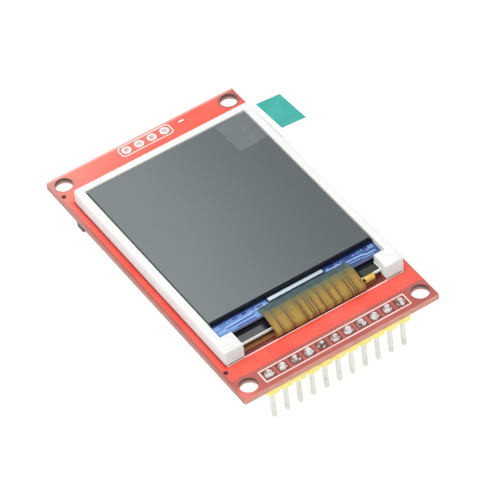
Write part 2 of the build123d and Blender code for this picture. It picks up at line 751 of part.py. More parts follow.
def card_socket_shell():
    """Stamped steel cover: one bent sheet with spring tongues, ribs, a window and four feet."""
    length = (socket_tip, socket_rear)
    middle_x = sum(length) / 2
    low = socket_low - SHELL_T / 2
    high = socket_high + SHELL_T / 2
    cover = shell_z + SHELL_T / 2
    path = FilletPolyline(
        (middle_x, low, board_back - SHELL_LIFT),
        (middle_x, low, cover),
        (middle_x, high, cover),
        (middle_x, high, board_back - SHELL_LIFT),
        radius=SHELL_BEND_R,
    )
    sheet = strip_along(path, length[1] - length[0], SHELL_T, (1, 0, 0))
    shell = sheet & plate(shell_outline(), shell_z, board_back - shell_z)

    # The mouth's edge turns outwards a little, to lead the card in
    front = socket_mouth + SHELL_MOUTH_STEP
    lip = FilletPolyline(
        (front + SHELL_SLOT, slot_mid, cover),
        (front, slot_mid, cover),
        (front - SHELL_LIP_L, slot_mid, cover - SHELL_LIP_OUT),
        radius=SHELL_BEND_R,
    )
    shell += strip_along(lip, slot_w - 2 * SOCKET_FLARE, SHELL_T, (0, 1, 0))

    # Each tongue stands in an opening of its own, and the window shows the contacts
    opening = Rectangle(SHELL_TONGUE_L + SHELL_SLOT, SHELL_TONGUE_W + 2 * SHELL_SLOT)
    through = extrude(Pos(0, 0, shell_z) * opening, amount=SHELL_T)
    for y in (slot_mid - SHELL_TONGUE_Y, slot_mid + SHELL_TONGUE_Y):
        shell -= Pos(tongue_x - SHELL_SLOT / 2, y, 0) * through
        shell += shell_tongue(y)
    window = Pos(slot_rear - CONTACT_SLOT_L, slot_mid, 0) * Rectangle(SHELL_WINDOW_W, SHELL_WINDOW_L)
    shell -= plate(window, shell_z, SHELL_T)

    # Two pressed ribs stiffen the cover behind the tongues
    rib_x = tongue_x + SHELL_TONGUE_L + SHELL_SLOT
    for y in (slot_mid - SHELL_TONGUE_Y, slot_mid + SHELL_TONGUE_Y):
        shell += Pos(rib_x, y, 0) * shell_rib(shell_z)
        shell -= Pos(rib_x, y, 0) * shell_rib(shell_z + SHELL_T)

    start = front + SHELL_FOOT_END + SHELL_FOOT_L / 2
    end = socket_rear - SHELL_FOOT_END - SHELL_FOOT_L / 2
    for x in (start, end):
        shell += [shell_foot(x, -1), shell_foot(x, 1)]
    return shell


def card_contact(y):
    """A contact spring: soldered tail, flat held part, rising beam and a turned-down nose."""
    flat = board_back - CONTACT_T / 2
    held = slot_rear - CONTACT_BEND_R
    crest = held - CONTACT_BEAM
    path = FilletPolyline(
        (socket_rear + CONTACT_TAIL, y, flat),
        (held, y, flat),
        (crest, y, flat - CONTACT_RISE),
        (crest - CONTACT_NOSE, y, flat - CONTACT_RISE + CONTACT_NOSE_DROP),
        radius=CONTACT_BEND_R,
    )
    return strip_along(path, CONTACT_W, CONTACT_T, (0, 1, 0))


def switch_spring(end):
    """A leaf on edge, gripped at its rear end, with a bowed nose that the card pushes back."""
    middle_z = sum(switch_z_range()) / 2
    rest = slot_high + SWITCH_POCKET - SWITCH_T
    nose = slot_high - SWITCH_NOSE
    path = FilletPolyline(
        (end, rest, middle_z),
        (end - SWITCH_HELD - SWITCH_BEND_R, rest, middle_z),
        (end - SWITCH_L * 0.75, nose, middle_z),
        (end - SWITCH_L, slot_high + SWITCH_T, middle_z),
        radius=SWITCH_BEND_R,
    )
    return strip_along(path, SWITCH_W, SWITCH_T, (0, 0, 1))


# Small parts on the back: a three-legged regulator, and chip resistors and capacitors
def regulator_body():
    high = board_back - REG_SEAT
    low = high - REG_H
    wide = Rectangle(REG_L, REG_W)
    narrow = Rectangle(REG_L - 2 * REG_DRAFT, REG_W - 2 * REG_DRAFT)
    middle = board_back - REG_LEAD_Z
    upper = loft([Pos(0, 0, middle) * wide, Pos(0, 0, high) * narrow])
    lower = loft([Pos(0, 0, low) * narrow, Pos(0, 0, middle) * wide])
    return Pos(reg_x, reg_y, 0) * (upper + lower)


def regulator_leads():
    """Three gull-wing legs, two on one side and one on the other."""
    flat = board_back - REG_LEAD_T / 2
    start = REG_W / 2
    end = start + REG_LEAD_REACH
    path = FilletPolyline(
        (0, start, board_back - REG_LEAD_Z),
        (0, start + REG_LEAD_REACH * 0.45, board_back - REG_LEAD_Z),
        (0, start + REG_LEAD_REACH * 0.55, flat),
        (0, end, flat),
        radius=REG_LEAD_T * 0.6,
    )
    leg = strip_along(path, REG_LEAD_W, REG_LEAD_T, (1, 0, 0))
    middle = Pos(reg_x, reg_y, 0)
    pair = [middle * Pos(x, 0, 0) * leg for x in (-REG_LEAD_PITCH, REG_LEAD_PITCH)]
    return pair + [middle * Rot(0, 0, 180) * leg]


def chip_part(x, y, long, wide, high):
    """A chip resistor or capacitor: a body with a slightly larger cap on each end."""
    end = long / 2
    half = wide / 2
    inner = half - CHIP_PART_STEP
    body_z = (board_back - high + CHIP_PART_STEP, board_back - CHIP_PART_STEP)
    cap_z = (board_back - high, board_back)
    part = block((-end, end), (-inner, inner), body_z)
    part += block((-end, -end + CHIP_PART_CAP), (-half, half), cap_z)
    part += block((end - CHIP_PART_CAP, end), (-half, half), cap_z)
    return Pos(x, y, 0) * Rot(0, 0, 90) * part


def build():
    """Every piece of the module, by the name of its node."""
    parts = {"circuit_board": circuit_board(), "header_strip": header_strip()}
    for n, (x, y) in enumerate(header_places, 1):
        parts["header_pin_%02d" % n] = header_pin(x, y)
    parts["header_solder_joints"] = header_solder_joints()
    parts["plated_eyelets"] = plated_eyelets()
    parts["mounting_tape"] = mounting_tape()
    parts["display_frame"] = display_frame()
    parts["reflector_sheet"] = reflector_sheet()
    parts["light_guide"] = light_guide()
    parts["diffuser_sheet"] = light_sheet(diffuser_z, DIFFUSER_T, 0)
    parts["lower_prism_sheet"] = light_sheet(prism_z, PRISM_T, SHEET_STEP)
    parts["upper_prism_sheet"] = light_sheet(prism_z + PRISM_T, PRISM_T, 2 * SHEET_STEP)
    parts["light_shield_tape"] = shield_tape()
    for n, x in enumerate(row(LED_COUNT, led_pitch), 1):
        parts["backlight_led_%d" % n] = backlight_led(x)
    parts["backlight_flex"] = backlight_flex()
    parts["rear_polarizer"] = rear_polarizer()
    parts["array_glass"] = array_glass()
    parts["filter_glass"] = filter_glass()
    parts["front_polarizer"] = face_sheet(polarizer_z, POLARIZER_T)
    parts["protective_film"] = face_sheet(film_z, FILM_T)
    parts["pull_tab_strip"] = tab_strip()
    parts["pull_tab_grip"] = tab_grip()
    parts["driver_chip"] = driver_chip()
    parts["main_flex"] = main_flex()
    parts["flex_solder_joints"] = flex_solder_joints()
    parts["card_socket_base"] = card_socket_base()
    parts["card_socket_shell"] = card_socket_shell()
    for n, y in enumerate(contact_places, 1):
        parts["card_contact_%d" % n] = card_contact(y)
    for name, end in zip(("card_detect_spring", "write_lock_spring"), switch_ends()):
        parts[name] = switch_spring(end)
    parts["regulator_body"] = regulator_body()
    parts["regulator_leads"] = regulator_leads()
    for n in range(RESISTORS):
        x = -board_right + RESISTOR_INSET + n * RESISTOR_PITCH
        y = header_y + RESISTOR_FROM_PINS
        parts["chip_resistor_%d" % (n + 1)] = chip_part(x, y, RESISTOR_L, RESISTOR_W, RESISTOR_H)
    for n in range(CAPACITORS):
        x = reg_x - CAPACITOR_TO_REG - n * CAPACITOR_PITCH
        parts["chip_capacitor_%d" % (n + 1)] = chip_part(x, reg_y, CAPACITOR_L, CAPACITOR_W, CAPACITOR_H)
    return parts


os.makedirs("parts", exist_ok=True)
for name, solid in build().items():
    whole = Compound(solid) if isinstance(solid, list) else solid
    export_step(whole, os.path.join("parts", name + ".step"))
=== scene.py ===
import logging
import math
import random
from dataclasses import dataclass
from enum import Enum
from functools import lru_cache
from typing import Callable, Dict, List, Optional, Sequence, Tuple, Union

import bmesh
import bpy
import numpy as np
from mathutils import Matrix, Vector


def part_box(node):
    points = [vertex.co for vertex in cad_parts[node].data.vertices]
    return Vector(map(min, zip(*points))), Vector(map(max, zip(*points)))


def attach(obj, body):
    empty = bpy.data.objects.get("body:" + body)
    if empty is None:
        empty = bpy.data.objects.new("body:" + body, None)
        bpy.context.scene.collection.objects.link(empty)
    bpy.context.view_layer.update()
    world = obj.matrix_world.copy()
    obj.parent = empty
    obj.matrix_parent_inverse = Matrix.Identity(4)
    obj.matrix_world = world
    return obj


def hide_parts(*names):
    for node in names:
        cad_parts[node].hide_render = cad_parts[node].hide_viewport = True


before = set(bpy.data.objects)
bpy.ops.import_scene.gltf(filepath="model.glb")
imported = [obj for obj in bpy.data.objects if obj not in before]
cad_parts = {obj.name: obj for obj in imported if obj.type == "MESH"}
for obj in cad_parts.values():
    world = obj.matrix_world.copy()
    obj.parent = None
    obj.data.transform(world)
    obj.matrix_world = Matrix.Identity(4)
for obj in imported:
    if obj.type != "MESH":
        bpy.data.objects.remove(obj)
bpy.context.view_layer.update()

LOG = logging.getLogger("display_module")
MM = 0.001
BODY = "root"

Point = Tuple[float, float]
Span = Tuple[float, float]
Place = Tuple[float, float, float]
Colour = Tuple[float, float, float, float]
Loop = List[Point]
Tree = bpy.types.NodeTree
Node = bpy.types.Node
Socket = bpy.types.NodeSocket
Feed = Union[float, Sequence[float], Socket]
Feeds = Optional[Dict[object, Feed]]

# Sizes that more than one class or finish uses, in millimetres
BOARD_T = 1.2
MOUNT_HOLE: Point = (16.6, 28.7)
VIAS: Tuple[Point, ...] = ((-18.1, 26.2), (-18.1, -24.3))
PIN_WAYS = 11
PIN_PITCH = 2.54
PIN_ROW = -28.7
GLASS_LEDGE = 2.06

# Board and copper above this height belong to the front
FRONT_ABOVE = -0.4


def srgb(red: int, green: int, blue: int) -> Colour:
    """Turn a screen colour into the linear one that shaders take.

    Args:
        red: Red from 0 to 255.
        green: Green from 0 to 255.
        blue: Blue from 0 to 255.

    Returns:
        The linear colour with full alpha.
    """
    shares = [channel / 255 for channel in (red, green, blue)]
    line = [s / 12.92 if s <= 0.04045 else ((s + 0.055) / 1.055) ** 2.4 for s in shares]
    return (line[0], line[1], line[2], 1.0)


class Wiring:
    """Places the nodes of one material or group and joins their sockets."""

    def __init__(self, tree: Tree) -> None:
        """Start on an empty tree."""
        self.tree = tree

    def feed(self, socket: Socket, value: Feed) -> None:
        """Give a socket a link or a plain value.

        Args:
            socket: The input to set.
            value: Another node's output, or the value itself.
        """
        if isinstance(value, Socket):
            self.tree.links.new(value, socket)
        else:
            socket.default_value = value

    def node(self, kind: str, feeds: Feeds = None, **settings: object) -> Node:
        """Place one node.

        Args:
            kind: Blender's name for the node type.
            feeds: What goes into its sockets, by name or number.
            settings: Its own settings.

        Returns:
            The node.
        """
        made = self.tree.nodes.new(kind)
        made.location = (180 * (len(self.tree.nodes) % 9), -160 * (len(self.tree.nodes) // 9))
        for name, value in settings.items():
            setattr(made, name, value)
        for socket, value in (feeds or {}).items():
            self.feed(made.inputs[socket], value)
        return made

    def group(self, tree: Tree, feeds: Feeds = None) -> Node:
        """Place a shared group."""
        return self.node("ShaderNodeGroup", feeds, node_tree=tree)

    def maths(self, operation: str, first: Feed, second: Feed = 0.0, third: Feed = 0.0) -> Socket:
        """Work out one sum, by Blender's name for it."""
        return self.node("ShaderNodeMath", {0: first, 1: second, 2: third}, operation=operation).outputs[0]

    def plus(self, first: Feed, second: Feed) -> Socket:
        """Add two numbers."""
        return self.maths("ADD", first, second)

    def minus(self, first: Feed, second: Feed) -> Socket:
        """Subtract the second number from the first."""
        return self.maths("SUBTRACT", first, second)

    def times(self, first: Feed, *others: Feed) -> Feed:
        """Multiply numbers, or keep only what several masks share.

        Args:
            first: The first number or mask.
            others: The others.

        Returns:
            The product's socket.
        """
        for other in others:
            first = self.maths("MULTIPLY", first, other)
        return first

    def scaled(self, value: Feed, factor: Feed, more: Feed) -> Socket:
        """Multiply a number and add another."""
        return self.maths("MULTIPLY_ADD", value, factor, more)

    def size(self, value: Feed) -> Socket:
        """Drop a number's sign."""
        return self.maths("ABSOLUTE", value)

    def most(self, first: Feed, second: Feed) -> Socket:
        """Take the larger of two numbers."""
        return self.maths("MAXIMUM", first, second)

    def below(self, value: Feed, limit: Feed) -> Socket:
        """Mask where a number is below a limit."""
        return self.maths("LESS_THAN", value, limit)

    def above(self, value: Feed, limit: Feed) -> Socket:
        """Mask where a number is above a limit."""
        return self.maths("GREATER_THAN", value, limit)

    def step(self, value: Feed, low: float, high: float, to_low: float = 0.0, to_high: float = 1.0) -> Socket:
        """Turn a value smoothly from one result at a low mark into another at a high mark."""
        feeds = {"Value": value, "From Min": low, "From Max": high, "To Min": to_low, "To Max": to_high}
        return self.node("ShaderNodeMapRange", feeds, interpolation_type="SMOOTHSTEP").outputs[0]

    def blend(self, share: Feed, first: Feed, second: Feed, kind: str = "MIX") -> Socket:
        """Mix a share of the second colour into the first."""
        made = self.node("ShaderNodeMix", {0: share, 6: first, 7: second}, data_type="RGBA", blend_type=kind)
        return made.outputs[2]

    def toned(self, colour: Feed, tone: Socket) -> Socket:
        """Multiply a colour by a tone about 1."""
        return self.blend(1.0, colour, tone, "MULTIPLY")

    def place(self, stretch: Place = (1.0, 1.0, 1.0)) -> Socket:
        """Give the place on the object in millimetres.

        Args:
            stretch: A factor for each axis.

        Returns:
            The place's socket.
        """
        found = self.node("ShaderNodeTexCoord").outputs["Object"]
        factor = tuple(s / MM for s in stretch)
        return self.node("ShaderNodeVectorMath", {0: found, 1: factor}, operation="MULTIPLY").outputs[0]

    def split(self, value: Feed) -> Tuple[Socket, Socket, Socket]:
        """Take a vector apart into its three axes."""
        return tuple(self.node("ShaderNodeSeparateXYZ", {0: value}).outputs)

    def noise(self, per_mm: Feed, place: Optional[Socket] = None, detail: float = 2.0,
              rough: float = 0.5) -> Socket:
        """Give smooth noise from 0 to 1, with so many lumps in a millimetre and finer layers on them."""
        feeds = {"Vector": place or self.place(), "Scale": per_mm, "Detail": detail, "Roughness": rough}
        return self.node("ShaderNodeTexNoise", feeds).outputs["Fac"]

    def cloud(self, per_mm: float, detail: float = 3.0, low: float = 0.3, high: float = 0.7) -> Socket:
        """Give soft patches as a mask: noise with more contrast."""
        return self.step(self.noise(per_mm, detail=detail), low, high)

    def checks(self, per_mm: float) -> Socket:
        """Give a fine checked pattern from -1 to 1, such as a weave or a grid of cells."""
        waves = [self.maths("SINE", self.times(axis, per_mm)) for axis in self.split(self.place())[:2]]
        return self.times(*waves)

    def bump(self, height: Feed, deep: float, under: Optional[Socket] = None) -> Socket:
        """Turn a height into a normal.

        Args:
            height: The height, from 0 to 1.
            deep: What 1 is, in millimetres.
            under: A normal that it adds to.

        Returns:
            The normal's socket.
        """
        made = self.node("ShaderNodeBump", {"Height": height, "Distance": deep * MM, "Strength": 1.0})
        if under is not None:
            self.feed(made.inputs["Normal"], under)
        return made.outputs[0]

    def mark(self, name: str) -> Socket:
        """Read a number that the mesh carries at each vertex."""
        return self.node("ShaderNodeAttribute", attribute_name=name).outputs["Fac"]


def new_group(name: str, inputs: Dict[str, float], outputs: Sequence[str]) -> Tuple[Wiring, Node, Node]:
    """Start a shared node group.

    Args:
        name: The group's name.
        inputs: Its number inputs with their usual values.
        outputs: Its number outputs.

    Returns:
        The wiring, and the nodes that stand for its inputs and outputs.
    """
    tree = bpy.data.node_groups.new(name, "ShaderNodeTree")
    for label, usual in inputs.items():
        tree.interface.new_socket(label, in_out="INPUT", socket_type="NodeSocketFloat").default_value = usual
    for label in outputs:
        tree.interface.new_socket(label, in_out="OUTPUT", socket_type="NodeSocketFloat")
    wiring = Wiring(tree)
    return wiring, wiring.node("NodeGroupInput"), wiring.node("NodeGroupOutput")


@lru_cache(maxsize=None)
def fine_grain() -> Tree:
    """Build the group for moulded grain: a tone about 1 and a height.

    Returns:
        The group's tree.
    """
    wiring, given, out = new_group("fine_grain", {"Size": 0.1, "Contrast": 0.1}, ("Tone", "Height"))
    per_mm = wiring.maths("DIVIDE", 1.0, given.outputs["Size"])
    fine = wiring.noise(per_mm, detail=4.0, rough=0.6)
    broad = wiring.noise(wiring.times(per_mm, 0.08))
    both = wiring.plus(wiring.times(fine, 0.5), wiring.times(broad, 0.5))
    swing = wiring.times(wiring.minus(both, 0.5), given.outputs["Contrast"])
    wiring.feed(out.inputs["Tone"], wiring.plus(1.0, swing))
    wiring.feed(out.inputs["Height"], fine)
    return wiring.tree


@lru_cache(maxsize=None)
def handling() -> Tree:
    """Build the group for handling marks: a roughness that wanders between two values.

    Returns:
        The group's tree.
    """
    usual = {"Size": 6.0, "Glossy": 0.2, "Dull": 0.35}
    wiring, given, out = new_group("handling_marks", usual, ("Roughness",))
    per_mm = wiring.maths("DIVIDE", 1.0, given.outputs["Size"])
    share = wiring.step(wiring.noise(per_mm, detail=5.0, rough=0.62), 0.35, 0.68)
    span = wiring.minus(given.outputs["Dull"], given.outputs["Glossy"])
    wiring.feed(out.inputs["Roughness"], wiring.scaled(share, span, given.outputs["Glossy"]))
    return wiring.tree


@lru_cache(maxsize=None)
def dust() -> Tree:
    """Build the group for dust: a mask of scattered specks.

    Returns:
        The group's tree.
    """
    wiring, given, out = new_group("dust_specks", {"Spacing": 1.0, "Amount": 0.2, "Speck": 0.05}, ("Mask",))
    per_mm = wiring.maths("DIVIDE", 1.0, given.outputs["Spacing"])
    cells = wiring.node("ShaderNodeTexVoronoi", {"Vector": wiring.place(), "Scale": per_mm})
    near = wiring.below(cells.outputs["Distance"], given.outputs["Speck"])
    lot = wiring.node("ShaderNodeSeparateColor", {0: cells.outputs["Color"]}).outputs[0]
    wiring.feed(out.inputs["Mask"], wiring.times(near, wiring.below(lot, given.outputs["Amount"])))
    return wiring.tree


@lru_cache(maxsize=None)
def facing() -> Tree:
    """Build the group that masks the faces that stand upright, by their true normal.

    Returns:
        The group's tree.
    """
    wiring, _, out = new_group("facing", {}, ("Side",))
    normal = wiring.node("ShaderNodeNewGeometry").outputs["True Normal"]
    flat = wiring.above(wiring.size(wiring.split(normal)[2]), 0.5)
    wiring.feed(out.inputs["Side"], wiring.minus(1.0, flat))
    return wiring.tree


@dataclass(frozen=True)
class Finish:
    """A surface finish: the name of its material and the record's slot that it belongs to."""

    name: str
    slot: str

    def build(self, wiring: Wiring, shader: Node) -> None:
        """Wire the finish into its shader; each kind of finish does this in its own way."""
        raise NotImplementedError(self.name)

    def wear(self, wiring: Wiring, shader: Node, size: float, gloss: Span,
             dull: Optional[Socket] = None) -> None:
        """Let handling marks vary the roughness.

        Args:
            wiring: The material's wiring.
            shader: Its shader.
            size: How broad the marks are, in millimetres.
            gloss: The roughness where they are glossy and where they are dull.
            dull: How much rougher some faces are than that.
        """
        marks = wiring.group(handling(), {"Size": size, "Glossy": gloss[0], "Dull": gloss[1]})
        rough = marks.outputs["Roughness"]
        wiring.feed(shader.inputs["Roughness"], rough if dull is None else wiring.plus(rough, dull))

    def dusted(self, wiring: Wiring, tone: Feed, specks: Place, dusty: Colour, strong: float = 1.0) -> Socket:
        """Scatter dust on a colour.

        Args:
            wiring: The material's wiring.
            tone: The colour so far.
            specks: The spacing of specks, the share of them that is there, and their size.
            dusty: The dust's colour.
            strong: How much of it shows.

        Returns:
            The colour with dust.
        """
        mask = wiring.group(dust(), dict(zip(("Spacing", "Amount", "Speck"), specks))).outputs["Mask"]
        if strong < 1.0:
            mask = wiring.times(mask, strong)
        return wiring.blend(mask, tone, dusty)


@lru_cache(maxsize=None)
def material_of(finish: Finish) -> bpy.types.Material:
    """Build a finish's material once.

    Args:
        finish: The finish.

    Returns:
        Its material.
    """
    material = bpy.data.materials.new(finish.name)
    material.use_nodes = True
    material.node_tree.nodes.clear()
    wiring = Wiring(material.node_tree)
    shader = wiring.node("ShaderNodeBsdfPrincipled")
    wiring.node("ShaderNodeOutputMaterial", {"Surface": shader.outputs[0]})
    finish.build(wiring, shader)
    return material


@dataclass(frozen=True)
class MouldedPlastic(Finish):
    """Moulded resin with a faint grain, cloudy tone, handling marks and a little dust."""

    colour: Colour
    shade: Colour
    gloss: Span = (0.3, 0.45)
    grain: float = 0.12
    depth: float = 0.004
    dusty: Colour = srgb(120, 116, 108)
    dust_amount: float = 0.1
    light: float = 0.0
    light_reach: float = 0.4
    light_tint: Place = (1.0, 0.85, 0.6)

    def build(self, wiring: Wiring, shader: Node) -> None:
        """Wire cloudy colour, grain and dust.

        Args:
            wiring: The material's wiring.
            shader: Its shader.
        """
        grain = wiring.group(fine_grain(), {"Size": self.grain, "Contrast": 0.14})
        base = wiring.blend(wiring.cloud(0.22, low=0.35), self.colour, self.shade)
        toned = wiring.toned(base, grain.outputs["Tone"])
        specks = (0.9, self.dust_amount, 0.045)
        wiring.feed(shader.inputs["Base Color"], self.dusted(wiring, toned, specks, self.dusty))
        self.wear(wiring, shader, 4.0, self.gloss)
        wiring.feed(shader.inputs["Normal"], wiring.bump(grain.outputs["Height"], self.depth))
        if self.light:
            shader.inputs["Subsurface Weight"].default_value = self.light
            shader.inputs["Subsurface Scale"].default_value = self.light_reach * MM
            shader.inputs["Subsurface Radius"].default_value = self.light_tint


@dataclass(frozen=True)
class SolderMask(Finish):
    """Glossy lacquer on glass-fibre laminate, with the cut laminate showing on the edges."""

    colour: Colour
    shade: Colour
    bounce: Colour = srgb(250, 244, 241)
    laminate: Colour = srgb(226, 166, 146)
    resin: Colour = srgb(204, 136, 118)
    # pale: the tone of the painted glare towards the far left
    pale: Colour = srgb(255, 196, 184)
    dusty: Colour = srgb(255, 205, 196)
    weave: float = 0.5
    gloss: Span = (0.14, 0.26)
    painted_glare: float = 0.3
    glare_span: Span = (20.0, 41.0)

    def marked(self, wiring: Wiring, side: Socket, tone: Socket) -> Socket:
        """Add marks that only one kind of lacquered surface has; the plain kind has none."""
        return tone

    def build(self, wiring: Wiring, shader: Node) -> None:
        """Wire the lacquer over its weave, paler to the far left as painted glare, and the layered edge.

        Args:
            wiring: The material's wiring.
            shader: Its shader.
        """
        cloth = wiring.step(wiring.checks(11.5), -0.7, 0.7)
        cloud = wiring.cloud(0.16, detail=4.0)
        share = wiring.plus(wiring.times(cloud, 0.75), wiring.times(cloth, 0.25 * self.weave))
        lacquer = wiring.blend(share, self.colour, self.shade)
        x, y, _ = wiring.split(wiring.place())
        # painted glare: the lacquer pales towards the far left
        corner = wiring.step(wiring.scaled(x, -0.5, y), *self.glare_span, 0.0, self.painted_glare)
        lacquer = wiring.blend(corner, lacquer, self.pale)
        lacquer = self.dusted(wiring, lacquer, (1.6, 0.18, 0.03), self.dusty, 0.6)
        layers = wiring.noise(2.2, wiring.place((0.25, 0.25, 4.0)), detail=3.0)
        edge = wiring.blend(wiring.step(layers, 0.38, 0.64), self.resin, self.laminate)
        side = wiring.group(facing()).outputs["Side"]
        tone = self.marked(wiring, side, wiring.blend(side, lacquer, edge))
        bounced = wiring.node("ShaderNodeLightPath").outputs["Is Diffuse Ray"]
        wiring.feed(shader.inputs["Base Color"], wiring.blend(bounced, tone, self.bounce))
        self.wear(wiring, shader, 5.0, self.gloss, wiring.times(side, 0.4))
        ripple = wiring.bump(wiring.noise(1.4, detail=3.0), 0.006)
        wiring.feed(shader.inputs["Normal"], wiring.bump(cloth, 0.003 * self.weave, ripple))


@dataclass(frozen=True)
class BoardLacquer(SolderMask):
    """The board's own lacquer: painted shade in its holes, recess and left edge, painted light at its near
    tip and far rim, dark vias, and dark pads that are partly painted shade.
    """

    hole_reach: float = 1.75
    # painted shade on the hole walls, darkest at the top, and a painted glow on their lower part
    wall_painted_shade: Colour = srgb(60, 38, 36)
    wall_painted_glow: Colour = srgb(196, 152, 142)
    wall_span: Span = (-1.2, -0.35)
    recess: Tuple[Point, Point] = ((-13.75, -23.25), (13.75, -20.0))
    # painted shade on the lacquer in the recess under the frame's front
    recess_painted_shade: Colour = srgb(92, 26, 18)
    via_span: Span = (0.28, 0.52)
    via_tone: Colour = srgb(84, 26, 22)
    left: float = -18.85
    # painted shade on the board's left edge
    left_edge_painted_shade: Colour = srgb(128, 92, 88)
    # painted light: a paler pool round the board's near left tip
    tip: Point = (-18.4, -30.6)
    tip_span: Span = (0.5, 3.4)
    tip_painted_light: Colour = srgb(244, 128, 116)
    # the dark pads round each pin: partly their own colour, partly painted shade
    pad_span: Span = (0.9, 1.06)
    pads_half: float = 13.9
    pad_and_painted_shade: Colour = srgb(112, 46, 40)
    # painted highlight along the board's far rim
    bright_rim: Point = (18.6, 30.5)
    bright_rim_wide: float = 0.1
    rim_painted_highlight: Colour = srgb(250, 226, 216)

    def marked(self, wiring: Wiring, side: Socket, tone: Socket) -> Socket:
        """Paint shade on the hole walls, recess and left edge, darken the vias and the pads (partly painted
        shade), and paint light on the tip and the far rim.

        Args:
            wiring: The material's wiring.
            side: A mask of the faces that stand upright.
            tone: The colour so far.

        Returns:
            The colour with these marks.
        """
        x, y, z = wiring.split(wiring.place())
        across, front = wiring.size(x), wiring.above(z, FRONT_ABOVE)
        near = wiring.below(self.away(wiring, across, wiring.size(y), MOUNT_HOLE), self.hole_reach)
        # painted shade on the hole walls, fading to a painted glow lower down
        ragged = wiring.scaled(wiring.noise(1.6), 0.5, wiring.minus(z, 0.25))
        wall_painted_shade = wiring.blend(wiring.step(ragged, *self.wall_span), self.wall_painted_glow, self.wall_painted_shade)
        tone = wiring.blend(wiring.times(near, side, 0.92), tone, wall_painted_shade)
        # painted shade in the recess under the frame
        (low_x, low_y), (high_x, high_y) = self.recess
        inside = wiring.times(wiring.above(x, low_x), wiring.below(x, high_x), wiring.above(y, low_y),
                              wiring.below(y, high_y), front)
        tone = wiring.blend(wiring.times(inside, 0.85), tone, self.recess_painted_shade)
        # painted light near the near left tip
        tip = wiring.step(self.away(wiring, x, y, self.tip), *self.tip_span, 0.55, 0.0)
        tone = wiring.blend(wiring.times(tip, front), tone, self.tip_painted_light)
        # painted shade on the left edge
        tone = wiring.blend(wiring.times(wiring.below(x, self.left), side, 0.6), tone, self.left_edge_painted_shade)
        for via in VIAS:
            spot = wiring.step(self.away(wiring, x, y, via), *self.via_span, 0.92, 0.0)
            tone = wiring.blend(spot, tone, self.via_tone)
        # dark pads, partly painted shade
        ways = wiring.maths("DIVIDE", wiring.plus(x, PIN_WAYS * PIN_PITCH / 2), PIN_PITCH)
        beside = wiring.times(wiring.size(wiring.minus(wiring.maths("FRACT", ways), 0.5)), PIN_PITCH)
        beyond = wiring.size(wiring.minus(y, PIN_ROW))
        pad = wiring.step(wiring.most(beside, beyond), *self.pad_span, 0.85, 0.0)
        pad = wiring.times(pad, wiring.below(across, self.pads_half), front)
        tone = wiring.blend(pad, tone, self.pad_and_painted_shade)
        # painted highlight on the far rim
        rim = wiring.most(wiring.step(x, self.bright_rim[0], self.bright_rim[0] + self.bright_rim_wide),
                          wiring.step(y, self.bright_rim[1], self.bright_rim[1] + self.bright_rim_wide, 0.0, 0.35))
        return wiring.blend(wiring.times(rim, front), tone, self.rim_painted_highlight)

    def away(self, wiring: Wiring, x: Socket, y: Socket, spot: Point) -> Socket:
        """Measure how far a place is from the middle of a spot on the board."""
        steps = [wiring.minus(axis, middle) for axis, middle in zip((x, y), spot)]
        return wiring.maths("SQRT", wiring.plus(*(wiring.times(s, s) for s in steps)))


@dataclass(frozen=True)
class CopperLacquer(SolderMask):
    """Lacquer over copper, with painted shadow at the foot of the display frame that stands on it."""

    frame_half: Point = (17.35, 23.5)
    frame_middle: float = 0.2
    frame_inner: float = 17.3
    foot_span: Span = (0.02, 0.42)
    foot_painted_shadow: Colour = srgb(150, 28, 22)
    shade_span: Span = (0.25, 1.1)
    broad_painted_shade: Colour = srgb(206, 44, 32)

    def marked(self, wiring: Wiring, side: Socket, tone: Socket) -> Socket:
        """Paint shadow on the lacquer along the frame's foot on the front, and broader painted shade on its
        left.

        Args:
            wiring: The material's wiring.
            side: A mask of the faces that stand upright.
            tone: The colour so far.

        Returns:
            The colour with the dark foot.
        """
        x, y, z = wiring.split(wiring.place())
        beside = wiring.minus(wiring.size(x), self.frame_half[0])
        beyond = wiring.minus(wiring.size(wiring.minus(y, self.frame_middle)), self.frame_half[1])
        out = wiring.most(beside, beyond)
        here = wiring.times(wiring.below(x, self.frame_inner), wiring.above(z, FRONT_ABOVE))
        left = wiring.times(here, wiring.below(x, -self.frame_inner))
        # broad painted shade beside the frame's left wall
        broad = wiring.times(wiring.step(out, *self.shade_span, 0.45, 0.0), left)
        tone = wiring.blend(broad, tone, self.broad_painted_shade)
        # painted shadow close to the frame's foot
        close = wiring.times(wiring.step(out, *self.foot_span, 0.8, 0.0), here)
        return wiring.blend(close, tone, self.foot_painted_shadow)


